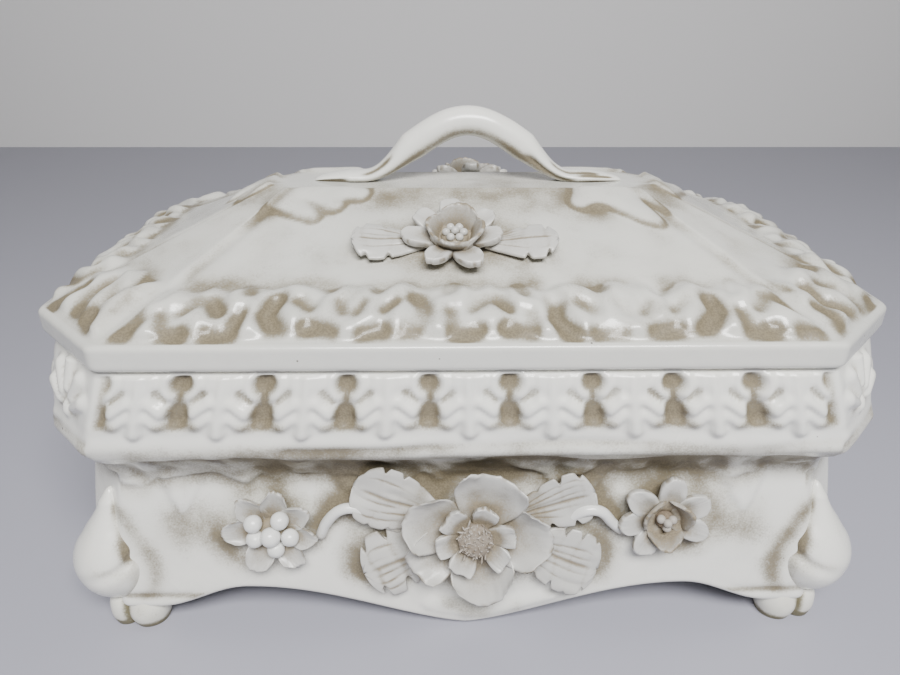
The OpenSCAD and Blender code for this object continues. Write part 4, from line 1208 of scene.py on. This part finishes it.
def make_scroll(corner, hand):
    """A teardrop volute that hugs the corner, creased where its upper lobe curls over the lower."""
    turn = circle(110)[None]
    z = mix(SCROLL_LOW, SCROLL_TOP, ease(np.linspace(0.02, 1, 84)))[:, None] + 0 * turn
    radius = scroll_radius(z)
    crease, seam = 0.0, 0.0
    for middle in SCROLL_NARROWS:
        radius = radius * (1 - 0.24 * bell(from_angle(turn, middle), 0.75))
    for middle, reach in SCROLL_CREASES:
        away = from_angle(turn, middle)
        dent = 1.9 * bell(z - 33 - 6.0 * away, 2.4) + 1.2 * bell(z - 45, 8) - 0.3 * bell(z - 26, 6)
        radius = radius - bell(away, reach) * dent
        crease = crease + bell(away, 0.75) * bell(z - 35 - 5.0 * away, 2.6)
    for middle in SCROLL_SEAMS:
        seam = seam + bell(from_angle(turn, middle), 0.26)
    seam = seam * step(12, 20, z) * step(57, 50, z)
    # keep outside the wall's middle surface: stop each ray where it meets the core's plan
    axis = RIDGE_HALF - SCROLL_INSET
    core = WAIST_HALF - WALL / 2
    cut = WAIST_CUT - WALL / 2 * CUT_PER_INSET
    c, s = np.cos(turn), np.sin(turn)
    to_cut = np.abs(axis.sum() - (core.sum() - cut)) / np.maximum(-(c + s), 1e-6)
    radius = np.minimum(radius, to_cut)
    rings = np.stack([axis[0] + radius * c, axis[1] + radius * s, z], -1)
    rings[..., 2] += 0.25 * noise(rings, 10, 201)
    patch = clip01(0.6 + 0.8 * noise(rings, 7, 203))
    wash = 0.07 + (crease + 0.85 * seam) * patch + 0.07 * noise(rings, 18, 202) + 0.4 * step(14, 9, z)
    piece = Piece()
    add_rings(piece, rings * [*hand, 1], clip01(wash))
    piece.make(f"scroll_{corner}", "box", f"corner_scroll_{corner}", IVORY, "ivory_glaze")


def make_foot(corner, hand):
    middle = RIDGE_HALF - FOOT_INSET
    piece = Piece()
    t, turn = np.linspace(0, 1, 26)[:, None], circle(48)[None]
    rise = 0.80 + 0.20 * np.sin(np.pi / 2 * t / FOOT_BELLY)
    bulge = np.where(t < FOOT_BELLY, rise, dome((t - FOOT_BELLY) / 0.62))
    for n, (x, y, radius, tall) in enumerate(TOES):
        z, r = tall * t + 0 * turn, radius * bulge
        rings = np.stack([middle[0] + x + r * np.cos(turn), middle[1] + y + r * np.sin(turn), z], -1)
        rings[..., :2] += 0.35 * noise(rings, 6, 210 + n)[..., None]
        between = bell(rings[..., 0] - middle[0] - 1.5, 1.6)
        wash = 1.25 * step(4.2, 0.4, z + 1.2 * noise(rings, 4, 215)) + 0.8 * between
        add_rings(piece, rings * [*hand, 1], clip01(wash + 0.15 + 0.2 * noise(rings, 5, 216)))
    piece.make(f"toes_{corner}", "box", f"foot_{corner}", FOOT, "washed_foot")


for side_name, turn in SIDES.items():
    main_blossom(side_name, turn)
    wall_leaves(side_name, turn)
    wall_stems(side_name, turn)
    small_blossoms(side_name, turn)
    lid_blossom(f"lid_{side_name}", turn)
for corner, hand in CORNERS.items():
    make_scroll(corner, hand)
    make_foot(corner, hand)
make_handle()
make_body()
make_lid()


# -------------------- stage, light, camera
STAGE_WIDE, STAGE_BACK, STAGE_FRONT, STAGE_HIGH = 3000, 900, -1500, 1800
WORLD_COLOUR, WORLD_STRENGTH = (0.93, 0.95, 1.0, 1), 0.04
WARM, COOL = (1.0, 0.995, 0.985), (0.97, 0.98, 1.0)
# [name, place and target in metres, size in metres, power in watts, colour] of each area light
LIGHTS = [
    ("window", (0.12, -0.74, 0.92), (0, 0, 0.05), (0.7, 0.35), 27, WARM),
    ("ceiling", (-0.10, 0.25, 1.2), (0, 0, 0.1), (0.9, 0.6), 0.8, COOL),
    ("side", (-0.95, -0.25, 0.55), (0, 0, 0.08), (0.5, 0.5), 0.5, COOL),
]
CAMERA_AT = (-10.1, -276.3, 217.3)
CAMERA_TURN, CAMERA_PITCH, CAMERA_ROLL = -1.1, 26.2, 0.2
CAMERA_LENS, SENSOR, CLIP_START = 27.04, 36.0, 0.01


def linked(name, data):
    made = bpy.data.objects.new(name, data)
    bpy.context.scene.collection.objects.link(made)
    return made


def stage_plane(name, corners, colour, roughness):
    material = bpy.data.materials.new(f"{name}_paint")
    material.use_nodes = True
    shader = material.node_tree.nodes["Principled BSDF"]
    shader.inputs["Base Color"].default_value = rgba(colour)
    shader.inputs["Roughness"].default_value = roughness
    mesh = bpy.data.meshes.new(name)
    mesh.from_pydata([[c * MM for c in p] for p in corners], [], [(0, 1, 2, 3)])
    mesh.materials.append(material)
    linked(name, mesh)


def make_stage():
    wide, front, back, high = STAGE_WIDE, STAGE_FRONT, STAGE_BACK, STAGE_HIGH
    floor = [(-wide, front, 0), (wide, front, 0), (wide, back, 0), (-wide, back, 0)]
    stage_plane("floor", floor, (0.36, 0.36, 0.42), 0.5)
    wall = [(-wide, back, 0), (wide, back, 0), (wide, back, high), (-wide, back, high)]
    stage_plane("backdrop", wall, (0.80, 0.79, 0.79), 0.8)


def make_light():
    world = bpy.data.worlds.new("studio")
    bpy.context.scene.world = world
    world.use_nodes = True
    background = world.node_tree.nodes["Background"]
    background.inputs["Color"].default_value = WORLD_COLOUR
    background.inputs["Strength"].default_value = WORLD_STRENGTH
    for name, place, target, size, power, colour in LIGHTS:
        data = bpy.data.lights.new(name, "AREA")
        data.shape = "RECTANGLE"
        data.size, data.size_y = size
        data.energy = power
        data.color = colour
        made = linked(name, data)
        made.location = place
        made.rotation_euler = (Vector(target) - Vector(place)).to_track_quat("-Z", "Y").to_euler()


def make_camera():
    (s_turn, c_turn), (s_pitch, c_pitch), (s, c) = arc((CAMERA_TURN, CAMERA_PITCH, CAMERA_ROLL))
    ahead = Vector((-s_turn * c_pitch, c_turn * c_pitch, -s_pitch))
    right = Vector((c_turn, s_turn, 0))
    up = right.cross(ahead)
    right, up = right * c + up * s, up * c - right * s
    data = bpy.data.cameras.new("camera")
    data.lens, data.sensor_width, data.clip_start = CAMERA_LENS, SENSOR, CLIP_START
    made = linked("camera", data)
    axes = Matrix((right, up, -ahead)).transposed().to_4x4()
    made.matrix_world = Matrix.Translation(Vector(CAMERA_AT) * MM) @ axes
    bpy.context.scene.camera = made


make_stage()
make_light()
make_camera()
